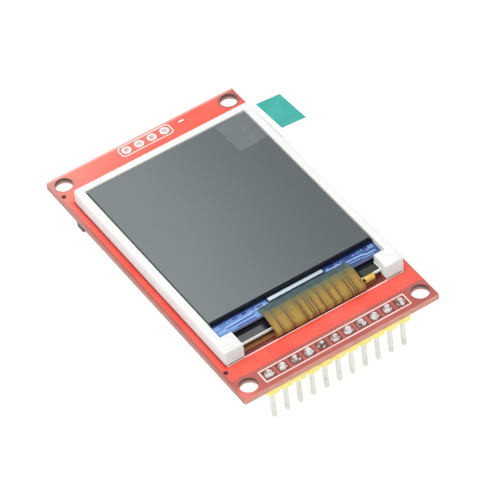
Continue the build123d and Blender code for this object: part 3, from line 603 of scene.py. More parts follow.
@dataclass(frozen=True)
class Metal(Finish):
    """Metal with streaks along one axis, patches of tarnish and a wavy skin."""

    colour: Colour
    tarnish: Colour
    gloss: Span = (0.18, 0.34)
    streak: Place = (1.0, 1.0, 1.0)
    streaks_per_mm: float = 4.0
    depth: float = 0.004
    patches: Span = (0.45, 0.75)
    metallic: float = 1.0

    def skin(self, wiring: Wiring) -> Tuple[Socket, Socket, Socket]:
        """Work out streaks and patches of tarnish.

        Args:
            wiring: The material's wiring.

        Returns:
            The colour, the roughness and the height.
        """
        lines = wiring.noise(self.streaks_per_mm, wiring.place(self.streak), detail=4.0, rough=0.6)
        patch = wiring.step(wiring.noise(0.7, detail=5.0, rough=0.65), *self.patches)
        share = wiring.most(patch, wiring.step(lines, 0.5, 0.85, 0.0, 0.6))
        rough = wiring.scaled(share, self.gloss[1] - self.gloss[0], self.gloss[0])
        return wiring.blend(share, self.colour, self.tarnish), rough, lines

    def build(self, wiring: Wiring, shader: Node) -> None:
        """Wire streaks, patches and the wavy skin.

        Args:
            wiring: The material's wiring.
            shader: Its shader.
        """
        tone, rough, height = self.skin(wiring)
        wiring.feed(shader.inputs["Base Color"], tone)
        shader.inputs["Metallic"].default_value = self.metallic
        wiring.feed(shader.inputs["Roughness"], rough)
        wiring.feed(shader.inputs["Normal"], wiring.bump(height, self.depth))


@dataclass(frozen=True)
class SolderCone(Metal):
    """Solder that is bright on its cone and darker and browner round its foot."""

    dark_foot: Colour = srgb(120, 84, 76)
    foot: Span = (0.04, 0.2)

    def skin(self, wiring: Wiring) -> Tuple[Socket, Socket, Socket]:
        """Darken and brown the solder round its foot.

        Args:
            wiring: The material's wiring.

        Returns:
            The colour, the roughness and the height.
        """
        tone, rough, lines = super().skin(wiring)
        height = wiring.minus(wiring.split(wiring.place())[2], 0.15)
        ragged = wiring.scaled(wiring.noise(1.3, detail=3.0), 0.3, height)
        browned = wiring.step(ragged, *self.foot, 0.9, 0.0)
        return wiring.blend(browned, tone, self.dark_foot), wiring.scaled(browned, 0.2, rough), lines


@dataclass(frozen=True)
class DisplayFace(Finish):
    """The dark face of a switched-off display under its smooth film."""

    colour: Colour
    shade: Colour
    gloss: Span = (0.22, 0.3)
    painted_right_shade: Colour = srgb(78, 86, 88)
    half_wide: float = 19.0
    cut_edge: float = -16.2
    black: Colour = srgb(9, 13, 24)
    dusty: Colour = srgb(190, 194, 192)

    def build(self, wiring: Wiring, shader: Node) -> None:
        """Wire the grey face, with a painted reflection that fades so the face darkens to the right, its
        faint cell grid and marks on the film.

        Args:
            wiring: The material's wiring.
            shader: Its shader.
        """
        share = wiring.plus(wiring.times(wiring.cloud(0.05), 0.8), wiring.times(wiring.checks(42.0), 0.04))
        face = wiring.blend(share, self.colour, self.shade)
        x, y, _ = wiring.split(wiring.place())
        # painted reflection: the face darkens to the right
        right = wiring.step(wiring.scaled(y, -0.12, x), -self.half_wide, self.half_wide)
        face = wiring.blend(right, face, self.painted_right_shade)
        # the front cut edges go black: partly their own dark tone, partly painted shade
        cut = wiring.times(wiring.below(y, self.cut_edge), wiring.group(facing()).outputs["Side"])
        face = wiring.blend(cut, face, self.black)
        wiring.feed(shader.inputs["Base Color"], self.dusted(wiring, face, (2.6, 0.05, 0.02), self.dusty))
        self.wear(wiring, shader, 9.0, self.gloss)
        wiring.feed(shader.inputs["Normal"], wiring.bump(wiring.noise(0.12), 0.01))


@dataclass(frozen=True)
class CoatedGlass(Finish):
    """Thin display glass: a coated face that gleams, and a paler ground edge."""

    face: Colour
    patch: Colour
    edge: Colour
    gloss: Span = (0.08, 0.2)
    painted_shade_span: Span = (-9.0, 7.0)

    def build(self, wiring: Wiring, shader: Node) -> None:
        """Wire the coated face in uneven bands, darker to the right as painted shade, and the ground edge.

        Args:
            wiring: The material's wiring.
            shader: Its shader.
        """
        bands = wiring.step(wiring.noise(0.7, wiring.place((0.4, 2.0, 1.0)), detail=3.0), 0.3, 0.7)
        # painted shade: the coated face darkens to the right
        right = wiring.step(wiring.split(wiring.place())[0], *self.painted_shade_span, 0.0, 0.85)
        face = wiring.blend(wiring.scaled(bands, 0.4, right), self.face, self.patch)
        side = wiring.group(facing()).outputs["Side"]
        ground = wiring.group(fine_grain(), {"Size": 0.05, "Contrast": 0.5})
        edge = wiring.toned(self.edge, ground.outputs["Tone"])
        wiring.feed(shader.inputs["Base Color"], wiring.blend(side, face, edge))
        self.wear(wiring, shader, 2.0, self.gloss, wiring.times(side, 0.2))
        wiring.feed(shader.inputs["Normal"], wiring.bump(ground.outputs["Height"], 0.001))


@dataclass(frozen=True)
class MaskedGlass(Finish):
    """Display glass with a black mask along its front edge and a plain grey border elsewhere."""

    mask: Colour
    border: Colour
    front: Span = (-16.1, -15.9)
    blue: Colour = srgb(24, 44, 98)
    blue_span: Span = (2.1, 2.5)

    def build(self, wiring: Wiring, shader: Node) -> None:
        """Wire the mask, which turns blue towards the cut edge, and the border.

        Args:
            wiring: The material's wiring.
            shader: Its shader.
        """
        _, y, z = wiring.split(wiring.place())
        side = wiring.group(facing()).outputs["Side"]
        low = wiring.times(side, wiring.step(z, *self.blue_span, 0.9, 0.0))
        dark = wiring.blend(low, self.mask, self.blue)
        cloud = wiring.noise(1.4, detail=3.0)
        border = wiring.blend(cloud, self.border, wiring.blend(0.5, self.border, self.mask))
        masked = wiring.step(y, *self.front, 1.0, 0.0)
        wiring.feed(shader.inputs["Base Color"], wiring.blend(masked, border, dark))
        self.wear(wiring, shader, 2.0, (0.15, 0.3))
        wiring.feed(shader.inputs["Normal"], wiring.bump(cloud, 0.002))


@dataclass(frozen=True)
class BlackMask(Finish):
    """A matt black print, partly the display's black border and partly painted shade, with a slightly uneven
    edge tone.
    """

    colour: Colour
    shade: Colour
    specular: float = 0.1

    def build(self, wiring: Wiring, shader: Node) -> None:
        """Wire the print's tone and its fine grain.

        Args:
            wiring: The material's wiring.
            shader: Its shader.
        """
        grain = wiring.group(fine_grain(), {"Size": 0.05, "Contrast": 0.3})
        tone = wiring.blend(wiring.cloud(0.9, low=0.35, high=0.65), self.colour, self.shade)
        wiring.feed(shader.inputs["Base Color"], wiring.toned(tone, grain.outputs["Tone"]))
        self.wear(wiring, shader, 2.0, (0.3, 0.5))
        shader.inputs["Specular IOR Level"].default_value = self.specular
        wiring.feed(shader.inputs["Normal"], wiring.bump(grain.outputs["Height"], 0.001))


@dataclass(frozen=True)
class ShieldTape(Finish):
    """Dark tape with painted shadow: nearly black under the glass and beside the cable, and darker to the
    right as painted shade.
    """

    colour: Colour
    painted_right_shade: Colour
    black: Colour
    right_span: Span = (-6.0, 9.0)
    glass_shadow_at: Span = (-20.15, -19.95)
    left_shade: Span = (-8.95, -8.05)
    right_shade: Span = (10.2, 10.8)
    specular: float = 0.15

    def build(self, wiring: Wiring, shader: Node) -> None:
        """Wire the tape's grey, darker to the right as painted shade, its fine weave and the painted black
        shadow under the glass and beside the cable.

        Args:
            wiring: The material's wiring.
            shader: Its shader.
        """
        x, y, _ = wiring.split(wiring.place())
        grain = wiring.group(fine_grain(), {"Size": 0.06, "Contrast": 0.3})
        # painted shade: the tape darkens to the right
        grey = wiring.blend(wiring.step(x, *self.right_span), self.colour, self.painted_right_shade)
        grey = wiring.toned(grey, grain.outputs["Tone"])
        # painted shadow under the glass's edge and beside the cable
        ragged = wiring.scaled(wiring.noise(0.8), 0.16, wiring.minus(y, 0.08))
        beside = wiring.times(wiring.step(x, *self.left_shade), wiring.step(x, *self.right_shade, 1.0, 0.0))
        share = wiring.most(wiring.step(ragged, *self.glass_shadow_at), beside)
        wiring.feed(shader.inputs["Base Color"], wiring.blend(share, grey, self.black))
        shader.inputs["Specular IOR Level"].default_value = self.specular
        self.wear(wiring, shader, 2.0, (0.4, 0.6))
        wiring.feed(shader.inputs["Normal"], wiring.bump(grain.outputs["Height"], 0.004))


@dataclass(frozen=True)
class FramePlastic(MouldedPlastic):
    """The display frame's white resin, with painted shadow low on its front rail and painted light on the
    rail's top.
    """

    rail_half: float = 13.8
    rail_front: float = -21.5
    gap_shadow_span: Span = (0.68, 0.8)
    gap_painted_shadow: Colour = srgb(46, 22, 14)
    top_back: float = -19.0
    top_span: Span = (1.2, 1.4)
    # painted light on the rail's top, with a glow though it is no lamp
    rail_top_painted_light: Colour = srgb(255, 250, 240)
    rail_top_painted_glow: Colour = (0.17, 0.14, 0.11, 1.0)

    def build(self, wiring: Wiring, shader: Node) -> None:
        """Wire the white resin, then the painted shadow under the rail and the painted light, with a glow, on
        its top.

        Args:
            wiring: The material's wiring.
            shader: Its shader.
        """
        super().build(wiring, shader)
        white = shader.inputs["Base Color"].links[0].from_socket
        x, y, z = wiring.split(wiring.place())
        between = wiring.below(wiring.size(x), self.rail_half)
        # painted shadow on the lower part of the rail's front face
        low = wiring.step(z, *self.gap_shadow_span, 0.96, 0.0)
        gap = wiring.times(between, wiring.below(y, self.rail_front), low)
        top = wiring.times(wiring.above(z, self.top_span[0]), wiring.below(z, self.top_span[1]), between,
                           wiring.below(y, self.top_back))
        tone = wiring.blend(gap, wiring.blend(top, white, self.rail_top_painted_light), self.gap_painted_shadow)
        wiring.feed(shader.inputs["Base Color"], tone)
        # the rail's top glows a little: painted light
        wiring.feed(shader.inputs["Emission Color"], wiring.blend(top, (0.0, 0.0, 0.0, 1.0), self.rail_top_painted_glow))
        shader.inputs["Emission Strength"].default_value = 1.0


@dataclass(frozen=True)
class Film(Finish):
    """A thin plastic film, clear or coloured, with soft waves and handling marks."""

    colour: Colour
    shade: Colour
    opacity: float = 1.0
    gloss: Span = (0.12, 0.25)
    wave: float = 0.02
    specular: float = 0.5
    dusty: Colour = srgb(235, 240, 238)

    def build(self, wiring: Wiring, shader: Node) -> None:
        """Wire colour, see-through and waves.

        Args:
            wiring: The material's wiring.
            shader: Its shader.
        """
        face = wiring.blend(wiring.cloud(0.35, detail=4.0), self.colour, self.shade)
        wiring.feed(shader.inputs["Base Color"], self.dusted(wiring, face, (1.3, 0.25, 0.03), self.dusty))
        self.wear(wiring, shader, 3.0, self.gloss)
        wiring.feed(shader.inputs["Normal"], wiring.bump(wiring.noise(0.5), self.wave))
        shader.inputs["Specular IOR Level"].default_value = self.specular
        if self.opacity < 1.0:
            thin, thick = self.opacity * 0.8, self.opacity * 1.2
            swing = wiring.step(wiring.noise(0.6, detail=3.0), 0.3, 0.7, thin, thick)
            wiring.feed(shader.inputs["Alpha"], swing)


@dataclass(frozen=True)
class Polyimide(Finish):
    """Amber film over copper traces, dark in the gaps and grey-green where resin covers it, with painted
    shade, a painted red reflection and painted highlights.
    """

    amber: Colour
    deep: Colour
    gap: Colour
    resin: Colour
    # low: painted shade near the board, tinted with a painted reflection of the red board
    low: Colour = srgb(168, 96, 54)
    low_shade_from: Span = (0.15, 1.5)
    resin_from: float = 0.0
    bulge: float = 0.0
    # spots: how strong the painted highlights and shade in patches are
    spots: float = 0.0
    painted_gleam: Colour = srgb(255, 236, 168)
    painted_shade_tone: Colour = srgb(112, 80, 30)
    wet: Colour = srgb(98, 98, 62)
    crest_painted_highlight: Colour = srgb(184, 150, 66)
    # rim: how strong the painted shade at the traces' edges and the painted highlight on their crests are
    rim: float = 0.0
    gloss: Span = (0.2, 0.36)

    def build(self, wiring: Wiring, shader: Node) -> None:
        """Wire the amber film with its painted shade and highlights, the gaps between traces and the resin's
        uneven lower edge.

        Args:
            wiring: The material's wiring.
            shader: Its shader.
        """
        streaks = wiring.noise(1.6, wiring.place((2.2, 0.35, 0.35)), detail=4.0, rough=0.6)
        amber = wiring.blend(wiring.step(streaks, 0.36, 0.66), self.amber, self.deep)
        grain = wiring.group(fine_grain(), {"Size": 0.08, "Contrast": 0.3})
        amber = wiring.toned(amber, grain.outputs["Tone"])
        height = wiring.split(wiring.place())[2]
        # painted shade and red reflection low on the film, near the board
        amber = wiring.blend(wiring.step(height, *self.low_shade_from, 1.0, 0.0), amber, self.low)
        # painted highlights and shade in patches
        if self.spots:
            patches = wiring.noise(2.4, detail=3.0)
            amber = wiring.blend(wiring.step(patches, 0.54, 0.66, 0.0, self.spots), amber, self.painted_gleam)
            amber = wiring.blend(wiring.step(patches, 0.34, 0.44, self.spots, 0.0), amber, self.painted_shade_tone)
        swell = wiring.mark("trace_swell")
        # painted shade along the traces' edges and a painted highlight on their crests
        if self.rim:
            amber = wiring.blend(wiring.step(swell, 0.0, 0.55, self.rim, 0.0), amber, self.painted_shade_tone)
            amber = wiring.blend(wiring.step(swell, 0.6, 1.0, 0.0, self.rim * 0.7), amber, self.crest_painted_highlight)
        copper = wiring.blend(wiring.mark("trace_gap"), amber, self.gap)
        reach = wiring.scaled(swell, self.bulge, wiring.mark("along"))
        ragged = wiring.scaled(wiring.noise(2.5, detail=3.0), 0.18, reach)
        damp = wiring.step(ragged, self.resin_from, self.resin_from + 3.0, 0.9, 0.0)
        covered = wiring.step(ragged, self.resin_from - 0.35, self.resin_from + 0.4, 1.0, 0.0)
        tone = wiring.blend(covered, wiring.blend(damp, copper, self.wet), self.resin)
        wiring.feed(shader.inputs["Base Color"], tone)
        self.wear(wiring, shader, 1.5, self.gloss)
        wiring.feed(shader.inputs["Normal"], wiring.bump(streaks, 0.006))


class Look(Enum):
    """Every finish on the module."""

    BOARD = BoardLacquer("board_lacquer", "red_board", srgb(166, 78, 70), srgb(180, 96, 88), weave=1.0)
    COPPER = CopperLacquer("lacquer_on_copper", "red_board", srgb(247, 74, 58), srgb(250, 100, 84),
                           weave=0.2, laminate=srgb(232, 116, 98), resin=srgb(222, 92, 76))
    INK = MouldedPlastic("white_ink", "red_board", srgb(250, 232, 224), srgb(240, 210, 200), (0.5, 0.65),
                         0.06, 0.003)
    YELLOW = MouldedPlastic("yellow_strip_plastic", "yellow_plastic", srgb(255, 244, 140),
                            srgb(252, 236, 126), (0.35, 0.5), 0.1, 0.004, light=0.15)
    PIN = Metal("drawn_pin", "pin_metal", srgb(230, 231, 224), srgb(210, 210, 202), (0.3, 0.42),
                (3.0, 3.0, 0.15), metallic=0.6)
    SOLDER = Metal("solder", "solder", srgb(240, 240, 236), srgb(196, 194, 190), (0.14, 0.3), depth=0.012,
                   streaks_per_mm=1.6)
    JOINT = SolderCone("pin_solder_cone", "solder", srgb(252, 252, 250), srgb(120, 100, 96), (0.14, 0.32),
                       depth=0.03, streaks_per_mm=1.4, patches=(0.5, 0.62))
    PLATING = Metal("levelled_plating", "hole_plating", srgb(250, 240, 240), srgb(236, 220, 218),
                    (0.24, 0.4), depth=0.006, metallic=0.4)
    FOAM = MouldedPlastic("foam_tape_edge", "foam_tape", srgb(236, 232, 224), srgb(214, 208, 198),
                          (0.7, 0.85), 0.08, 0.02)
    FRAME = FramePlastic("white_frame_plastic", "white_plastic", srgb(224, 225, 223), srgb(219, 220, 218),
                         (0.32, 0.46), 0.1, 0.003, dust_amount=0.05)
    REFLECTOR = MouldedPlastic("reflector_sheet", "reflector_film", srgb(240, 242, 242),
                               srgb(228, 232, 232), (0.2, 0.3))
    GUIDE = Film("light_guide", "clear_acrylic", srgb(226, 236, 236), srgb(214, 228, 230), 0.55)
    DIFFUSER = Film("diffusing_sheet", "diffusing_film", srgb(236, 240, 238), srgb(226, 232, 230), 0.85,
                    (0.4, 0.6))
    TAPE = ShieldTape("dark_shield_tape", "dark_tape", srgb(86, 90, 91), srgb(60, 63, 60),
                      srgb(8, 10, 18))
    DIODE = MouldedPlastic("diode_case", "diode_case", srgb(240, 236, 214), srgb(232, 222, 170),
                           (0.3, 0.4))
    AMBER = Polyimide("main_flex_film", "amber_film", srgb(158, 124, 46), srgb(138, 103, 34),
                      srgb(54, 38, 14), srgb(74, 91, 86), low=srgb(146, 88, 50), resin_from=1.35,
                      bulge=0.3, rim=0.45)
    AMBER_TAIL = Polyimide("backlight_flex_film", "amber_film", srgb(232, 190, 84), srgb(206, 156, 62),
                           srgb(140, 104, 44), srgb(92, 110, 102), low=srgb(150, 98, 44),
                           low_shade_from=(0.1, 0.9), resin_from=-9.0, spots=0.85)
    BEAD = Film("bond_resin", "amber_film", srgb(72, 89, 86), srgb(60, 82, 90), 0.9, (0.1, 0.24), 0.01)
    FACE = DisplayFace("display_face", "polarizer_film", srgb(112, 120, 121), srgb(108, 116, 117))
    FILM_FACE = DisplayFace("film_over_face", "clear_film", srgb(112, 120, 121), srgb(108, 116, 117))
    MASK = BlackMask("display_edge_black_and_shade", "polarizer_film", srgb(9, 13, 24), srgb(14, 20, 34))
    ARRAY = CoatedGlass("array_glass_coated", "display_glass", srgb(106, 148, 204), srgb(46, 78, 132),
                        srgb(150, 148, 192))
    CIRCUIT = Metal("glass_bus_line", "display_glass", srgb(168, 208, 250), srgb(112, 160, 226),
                    (0.1, 0.25), metallic=0.2)
    CIRCUIT_DARK = Metal("glass_circuit_patch", "display_glass", srgb(70, 60, 140), srgb(54, 66, 126),
                         (0.1, 0.25), metallic=0.2)
    CIRCUIT_VIOLET = Metal("glass_alignment_patch", "display_glass", srgb(140, 132, 222),
                           srgb(112, 128, 220), (0.1, 0.25), metallic=0.2)
    FILTER = MaskedGlass("filter_glass_masked", "display_glass", srgb(10, 14, 26), srgb(92, 94, 84))
    CLEAR = Film("clear_tab_film", "clear_film", srgb(236, 242, 242), srgb(226, 234, 236), 0.035,
                 (0.08, 0.16), 0.01, 0.2)
    TEAL = Film("teal_grip_film", "green_film", srgb(46, 160, 150), srgb(58, 168, 156), 1.0, (0.2, 0.32),
                0.02)
    # the chip's dark sides: partly dark resin, partly painted shade
    SILICON = CoatedGlass("driver_silicon", "silicon", srgb(196, 210, 224), srgb(182, 196, 206),
                          srgb(28, 40, 58))
    # the resin rim round the chip: its dark tone is partly painted shade
    UNDERFILL = MouldedPlastic("chip_underfill", "silicon", srgb(30, 42, 62), srgb(22, 32, 54),
                               (0.12, 0.24), 0.05, 0.002)
    SOCKET = MouldedPlastic("socket_base_plastic", "socket_plastic", srgb(34, 34, 36), srgb(42, 42, 43),
                            (0.4, 0.58), 0.08, 0.006)
    STEEL = Metal("stamped_cover_steel", "stamped_steel", srgb(212, 208, 203), srgb(192, 187, 182),
                  (0.26, 0.4), (0.06, 2.6, 2.6), patches=(0.56, 0.9))
    SPRING = Metal("contact_spring_metal", "spring_metal", srgb(226, 206, 150), srgb(204, 180, 120),
                   (0.2, 0.34), (0.15, 2.0, 2.0))
    EPOXY = MouldedPlastic("black_epoxy_case", "black_epoxy", srgb(30, 30, 31), srgb(38, 37, 37),
                           (0.45, 0.62), 0.05, 0.006)
    LEAD = Metal("tinned_leg", "lead_metal", srgb(222, 220, 214), srgb(190, 186, 180), (0.22, 0.36),
                 (2.0, 0.3, 2.0))
    RESISTOR = MouldedPlastic("resistor_top", "resistor_ceramic", srgb(32, 31, 34), srgb(40, 38, 40),
                              (0.3, 0.42), 0.04, 0.003)
    CAPACITOR = MouldedPlastic("capacitor_body", "capacitor_ceramic", srgb(172, 132, 92),
                               srgb(160, 118, 80), (0.35, 0.5), 0.05, 0.004)


def arc(centre: Point, radius: float, start: float, end: float, sides: int = 12) -> Loop:
    """Draw part of a circle, between two angles in degrees."""
    turns = [math.radians(start + (end - start) * n / sides) for n in range(sides + 1)]
    return [(centre[0] + radius * math.cos(a), centre[1] + radius * math.sin(a)) for a in turns]


def ring(centre: Point, radius: float, sides: int) -> Loop:
    """Draw a circle as a loop."""
    return arc(centre, radius, 0.0, 360.0, sides)[:-1]


def panel(low: Point, high: Point, cut: float = 0.0) -> Loop:
    """Draw a rectangle, with its corners cut or not.

    Args:
        low: Its lower left corner.
        high: Its upper right corner.
        cut: How much of each corner is cut off.

    Returns:
        The loop's points.
    """
    if not cut:
        return [low, (high[0], low[1]), high, (low[0], high[1])]
    (left, near), (right, far) = low, high
    return [(left + cut, near), (right - cut, near), (right, near + cut), (right, far - cut),
            (right - cut, far), (left + cut, far), (left, far - cut), (left, near + cut)]


def panel_at(middle: Point, wide: float, deep: float, cut: float = 0.0) -> Loop:
    """Draw a rectangle about its middle."""
    (x, y), across, along = middle, wide / 2, deep / 2
    return panel((x - across, y - along), (x + across, y + along), cut)


def ribbon(path: Sequence[Point], wide: float) -> Loop:
    """Draw a line of even width with mitred bends.

    Args:
        path: The points it follows.
        wide: Its width.

    Returns:
        The loop's points.
    """
    left, right = [], []
    points = [Vector(p) for p in path]
    for n, point in enumerate(points):
        before = (point - points[n - 1]).normalized() if n else (points[1] - point).normalized()
        after = (points[n + 1] - point).normalized() if n + 1 < len(points) else before
        along = (before + after).normalized()
        across = Vector((-along.y, along.x)) * wide / 2 / max(0.4, along.dot(before))
        left.append(tuple(point + across))
        right.append(tuple(point - across))
    return left + right[::-1]


def rounded_path(points: Sequence[Point], radii: Sequence[float], step: float) -> Loop:
    """Follow straight runs with rounded corners, in even short steps.

    Args:
        points: The corners of the runs, with both ends.
        radii: The radius at each inner corner.
        step: The longest step on a straight run.

    Returns:
        The points on the way.
    """
    corners = [Vector(p) for p in points]
    stops = [[corners[0]]]
    for n, radius in enumerate(radii, 1):
        back = (corners[n - 1] - corners[n]).normalized()
        onward = (corners[n + 1] - corners[n]).normalized()
        half = back.angle(onward) / 2
        reach = radius / math.tan(half)
        centre = corners[n] + (back + onward).normalized() * radius / math.sin(half)
        first, last = (corners[n] + side * reach - centre for side in (back, onward))
        turn = first.angle_signed(last)
        count = max(4, int(abs(turn) / math.radians(11)))
        stops.append([centre + Matrix.Rotation(-turn * k / count, 2) @ first for k in range(count + 1)])
    stops.append([corners[-1]])
    way = list(stops[0])
    for bend in stops[1:]:
        run = bend[0] - way[-1]
        pieces = max(1, math.ceil(run.length / step))
        way += [way[-1] + run * (k / pieces) for k in range(1, pieces)] if pieces > 1 else []
        way += bend
    return [tuple(p) for p in way]


def measured(line: np.ndarray) -> Tuple[np.ndarray, np.ndarray]:
    """Measure along a line.

    Args:
        line: Its points.

    Returns:
        How far along each point is, and the direction of the line there.
    """
    steps = np.concatenate([[0], np.cumsum(np.linalg.norm(np.diff(line, axis=0), axis=1))])
    ahead = np.gradient(line, axis=0)
    return steps, ahead / np.linalg.norm(ahead, axis=1)[:, None]


class Shape:
    """A mesh under construction, in millimetres, and the piece that it becomes."""

    def __init__(self) -> None:
        """Start with nothing."""
        self.mesh = bmesh.new()

    def plate(self, loops: Sequence[Loop], low: float, high: float) -> None:
        """Raise a flat outline between two heights.

        Args:
            loops: The outline, then any holes in it.
            low: The lower height.
            high: The upper height.
        """
        edges = []
        for loop in loops:
            corners = [self.mesh.verts.new((x * MM, y * MM, low * MM)) for x, y in loop]
            edges += [self.mesh.edges.new((corners[n - 1], corners[n])) for n in range(len(corners))]
        filled = bmesh.ops.triangle_fill(self.mesh, use_beauty=True, use_dissolve=False, edges=edges)
        faces = [item for item in filled["geom"] if isinstance(item, bmesh.types.BMFace)]
        raised = bmesh.ops.extrude_face_region(self.mesh, geom=faces)
        moved = [item for item in raised["geom"] if isinstance(item, bmesh.types.BMVert)]
        bmesh.ops.translate(self.mesh, verts=moved, vec=(0, 0, (high - low) * MM))

    def loft(self, rings: Sequence[Sequence[Place]]) -> None:
        """Skin a stack of rings, with their points in one order, and close both ends."""
        rows = [[self.mesh.verts.new(tuple(c * MM for c in point)) for point in each] for each in rings]
        for lower, upper in zip(rows, rows[1:]):
            for n in range(len(lower)):
                self.mesh.faces.new((lower[n - 1], lower[n], upper[n], upper[n - 1]))
        self.mesh.faces.new(rows[0])
        self.mesh.faces.new(rows[-1])

    def sheet(self, places: np.ndarray, normals: np.ndarray, thick: float, present: np.ndarray,
              marks: Optional[Dict[str, np.ndarray]] = None, relief: Optional[np.ndarray] = None) -> None:
        """Add a thin sheet over a grid of points, with its rims closed.

        Args:
            places: The middle surface's points, as rows, columns and axes.
            normals: The direction out of the sheet's face at each point.
            thick: Its thickness.
            present: Which cells of the grid exist.
            marks: Numbers that each vertex carries, by name.
            relief: How far the upper face stands out at each point.
        """
        rows, columns = places.shape[:2]
        lift = np.zeros((rows, columns)) if relief is None else relief
        layers = {name: self.mesh.verts.layers.float.new(name) for name in (marks or {})}
        used = np.zeros((rows, columns), bool)
        for i, j in zip(*np.nonzero(present)):
            used[i:i + 2, j:j + 2] = True
        upper, lower = {}, {}
        for i, j in zip(*np.nonzero(used)):
            for side, store in ((1, upper), (-1, lower)):
                out = thick / 2 + (lift[i, j] if side > 0 else 0.0)
                vert = self.mesh.verts.new((places[i, j] + side * normals[i, j] * out) * MM)
                for name, layer in layers.items():
                    vert[layer] = float(marks[name][i, j])
                store[i, j] = vert
        for i, j in zip(*np.nonzero(present)):
            corners = ((i, j), (i + 1, j), (i + 1, j + 1), (i, j + 1))
            self.mesh.faces.new([upper[c] for c in corners])
            self.mesh.faces.new([lower[c] for c in reversed(corners)])
            for n, (di, dj) in enumerate(((0, -1), (1, 0), (0, 1), (-1, 0))):
                near = (i + di, j + dj)
                inside = 0 <= near[0] < present.shape[0] and 0 <= near[1] < present.shape[1]
                if not (inside and present[near]):
                    a, b = corners[n], corners[(n + 1) % 4]
                    self.mesh.faces.new((upper[b], upper[a], lower[a], lower[b]))

    def piece(self, name: str, look: Look, replaces: Sequence[str] = (), smooth: float = 35.0,
              second: Optional[Tuple[Look, Callable[[Vector], bool]]] = None) -> None:
        """Turn the mesh into a finished piece on the module's body.

        Args:
            name: The piece's name.
            look: Its finish.
            replaces: The solids that it stands for.
            smooth: The angle below which faces shade as one.
            second: Another finish, and a test on a face's middle for where it goes.
        """
        bmesh.ops.recalc_face_normals(self.mesh, faces=self.mesh.faces)
        data = bpy.data.meshes.new(name)
        self.mesh.to_mesh(data)
        self.mesh.free()
        data.materials.append(material_of(look.value))
        if second:
            data.materials.append(material_of(second[0].value))
            for face in data.polygons:
                face.material_index = int(second[1](face.center / MM))
        data.shade_smooth()
        data.set_sharp_from_angle(angle=math.radians(smooth))
        made = bpy.data.objects.new(name, data)
        bpy.context.scene.collection.objects.link(made)
        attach(made, BODY)
        if replaces:
            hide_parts(*replaces)
        LOG.info("built %s with %d faces", name, len(data.polygons))


def solid(node: str) -> Shape:
    """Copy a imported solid's mesh with its corners joined."""
    shape = Shape()
    shape.mesh.from_mesh(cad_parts[node].data)
    bmesh.ops.remove_doubles(shape.mesh, verts=shape.mesh.verts, dist=0.0005 * MM)
    return shape


def box_of(node: str) -> Tuple[Vector, Vector]:
    """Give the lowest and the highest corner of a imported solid, in millimetres."""
    low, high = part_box(node)
    return low / MM, high / MM


def softened(node: str, edge: float, angle: float = 25.0) -> Shape:
    """Copy a solid's mesh and round its sharp edges.

    Args:
        node: The solid's name.
        edge: How much each edge is rounded, in millimetres.
        angle: Edges turn at least this much to be rounded.

    Returns:
        The shape with rounded edges.
    """
    shape = solid(node)
    mesh = shape.mesh
    bmesh.ops.dissolve_limit(mesh, angle_limit=math.radians(1.0), verts=mesh.verts, edges=mesh.edges)
    sharp = [e for e in mesh.edges if len(e.link_faces) == 2 and e.calc_face_angle() > math.radians(angle)]
    bmesh.ops.bevel(mesh, geom=sharp, offset=edge * MM, segments=2, profile=0.5, affect="EDGES",
                    clamp_overlap=True, loop_slide=True)
    return shape


def islands(node: str) -> List[Tuple[Vector, Vector]]:
    """Find the box of each loose body in a solid's mesh.

    Args:
        node: The solid's name.

    Returns:
        The lowest and highest corner of each, in millimetres.
    """
    mesh = solid(node).mesh
    left = set(mesh.verts)
    boxes = []
    while left:
        group, wave = set(), {min(left, key=lambda v: v.index)}
        while wave:
            group |= wave
            wave = {e.other_vert(v) for v in wave for e in v.link_edges} - group
        left -= group
        spread = np.array([v.co for v in group]) / MM
        boxes.append((Vector(spread.min(axis=0)), Vector(spread.max(axis=0))))
    mesh.free()
    return sorted(boxes, key=lambda box: tuple(box[0]))


def dress(look: Look, *nodes: str) -> None:
    """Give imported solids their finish.

    Args:
        look: The finish.
        nodes: The solids' names.
    """
    for node in nodes:
        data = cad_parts[node].data
        data.materials.clear()
        data.materials.append(material_of(look.value))
        LOG.info("dressed %s as %s", node, look.value.name)


class Side(Enum):
    """A face of the circuit board: the direction out of it."""

    FRONT = 1
    BACK = -1


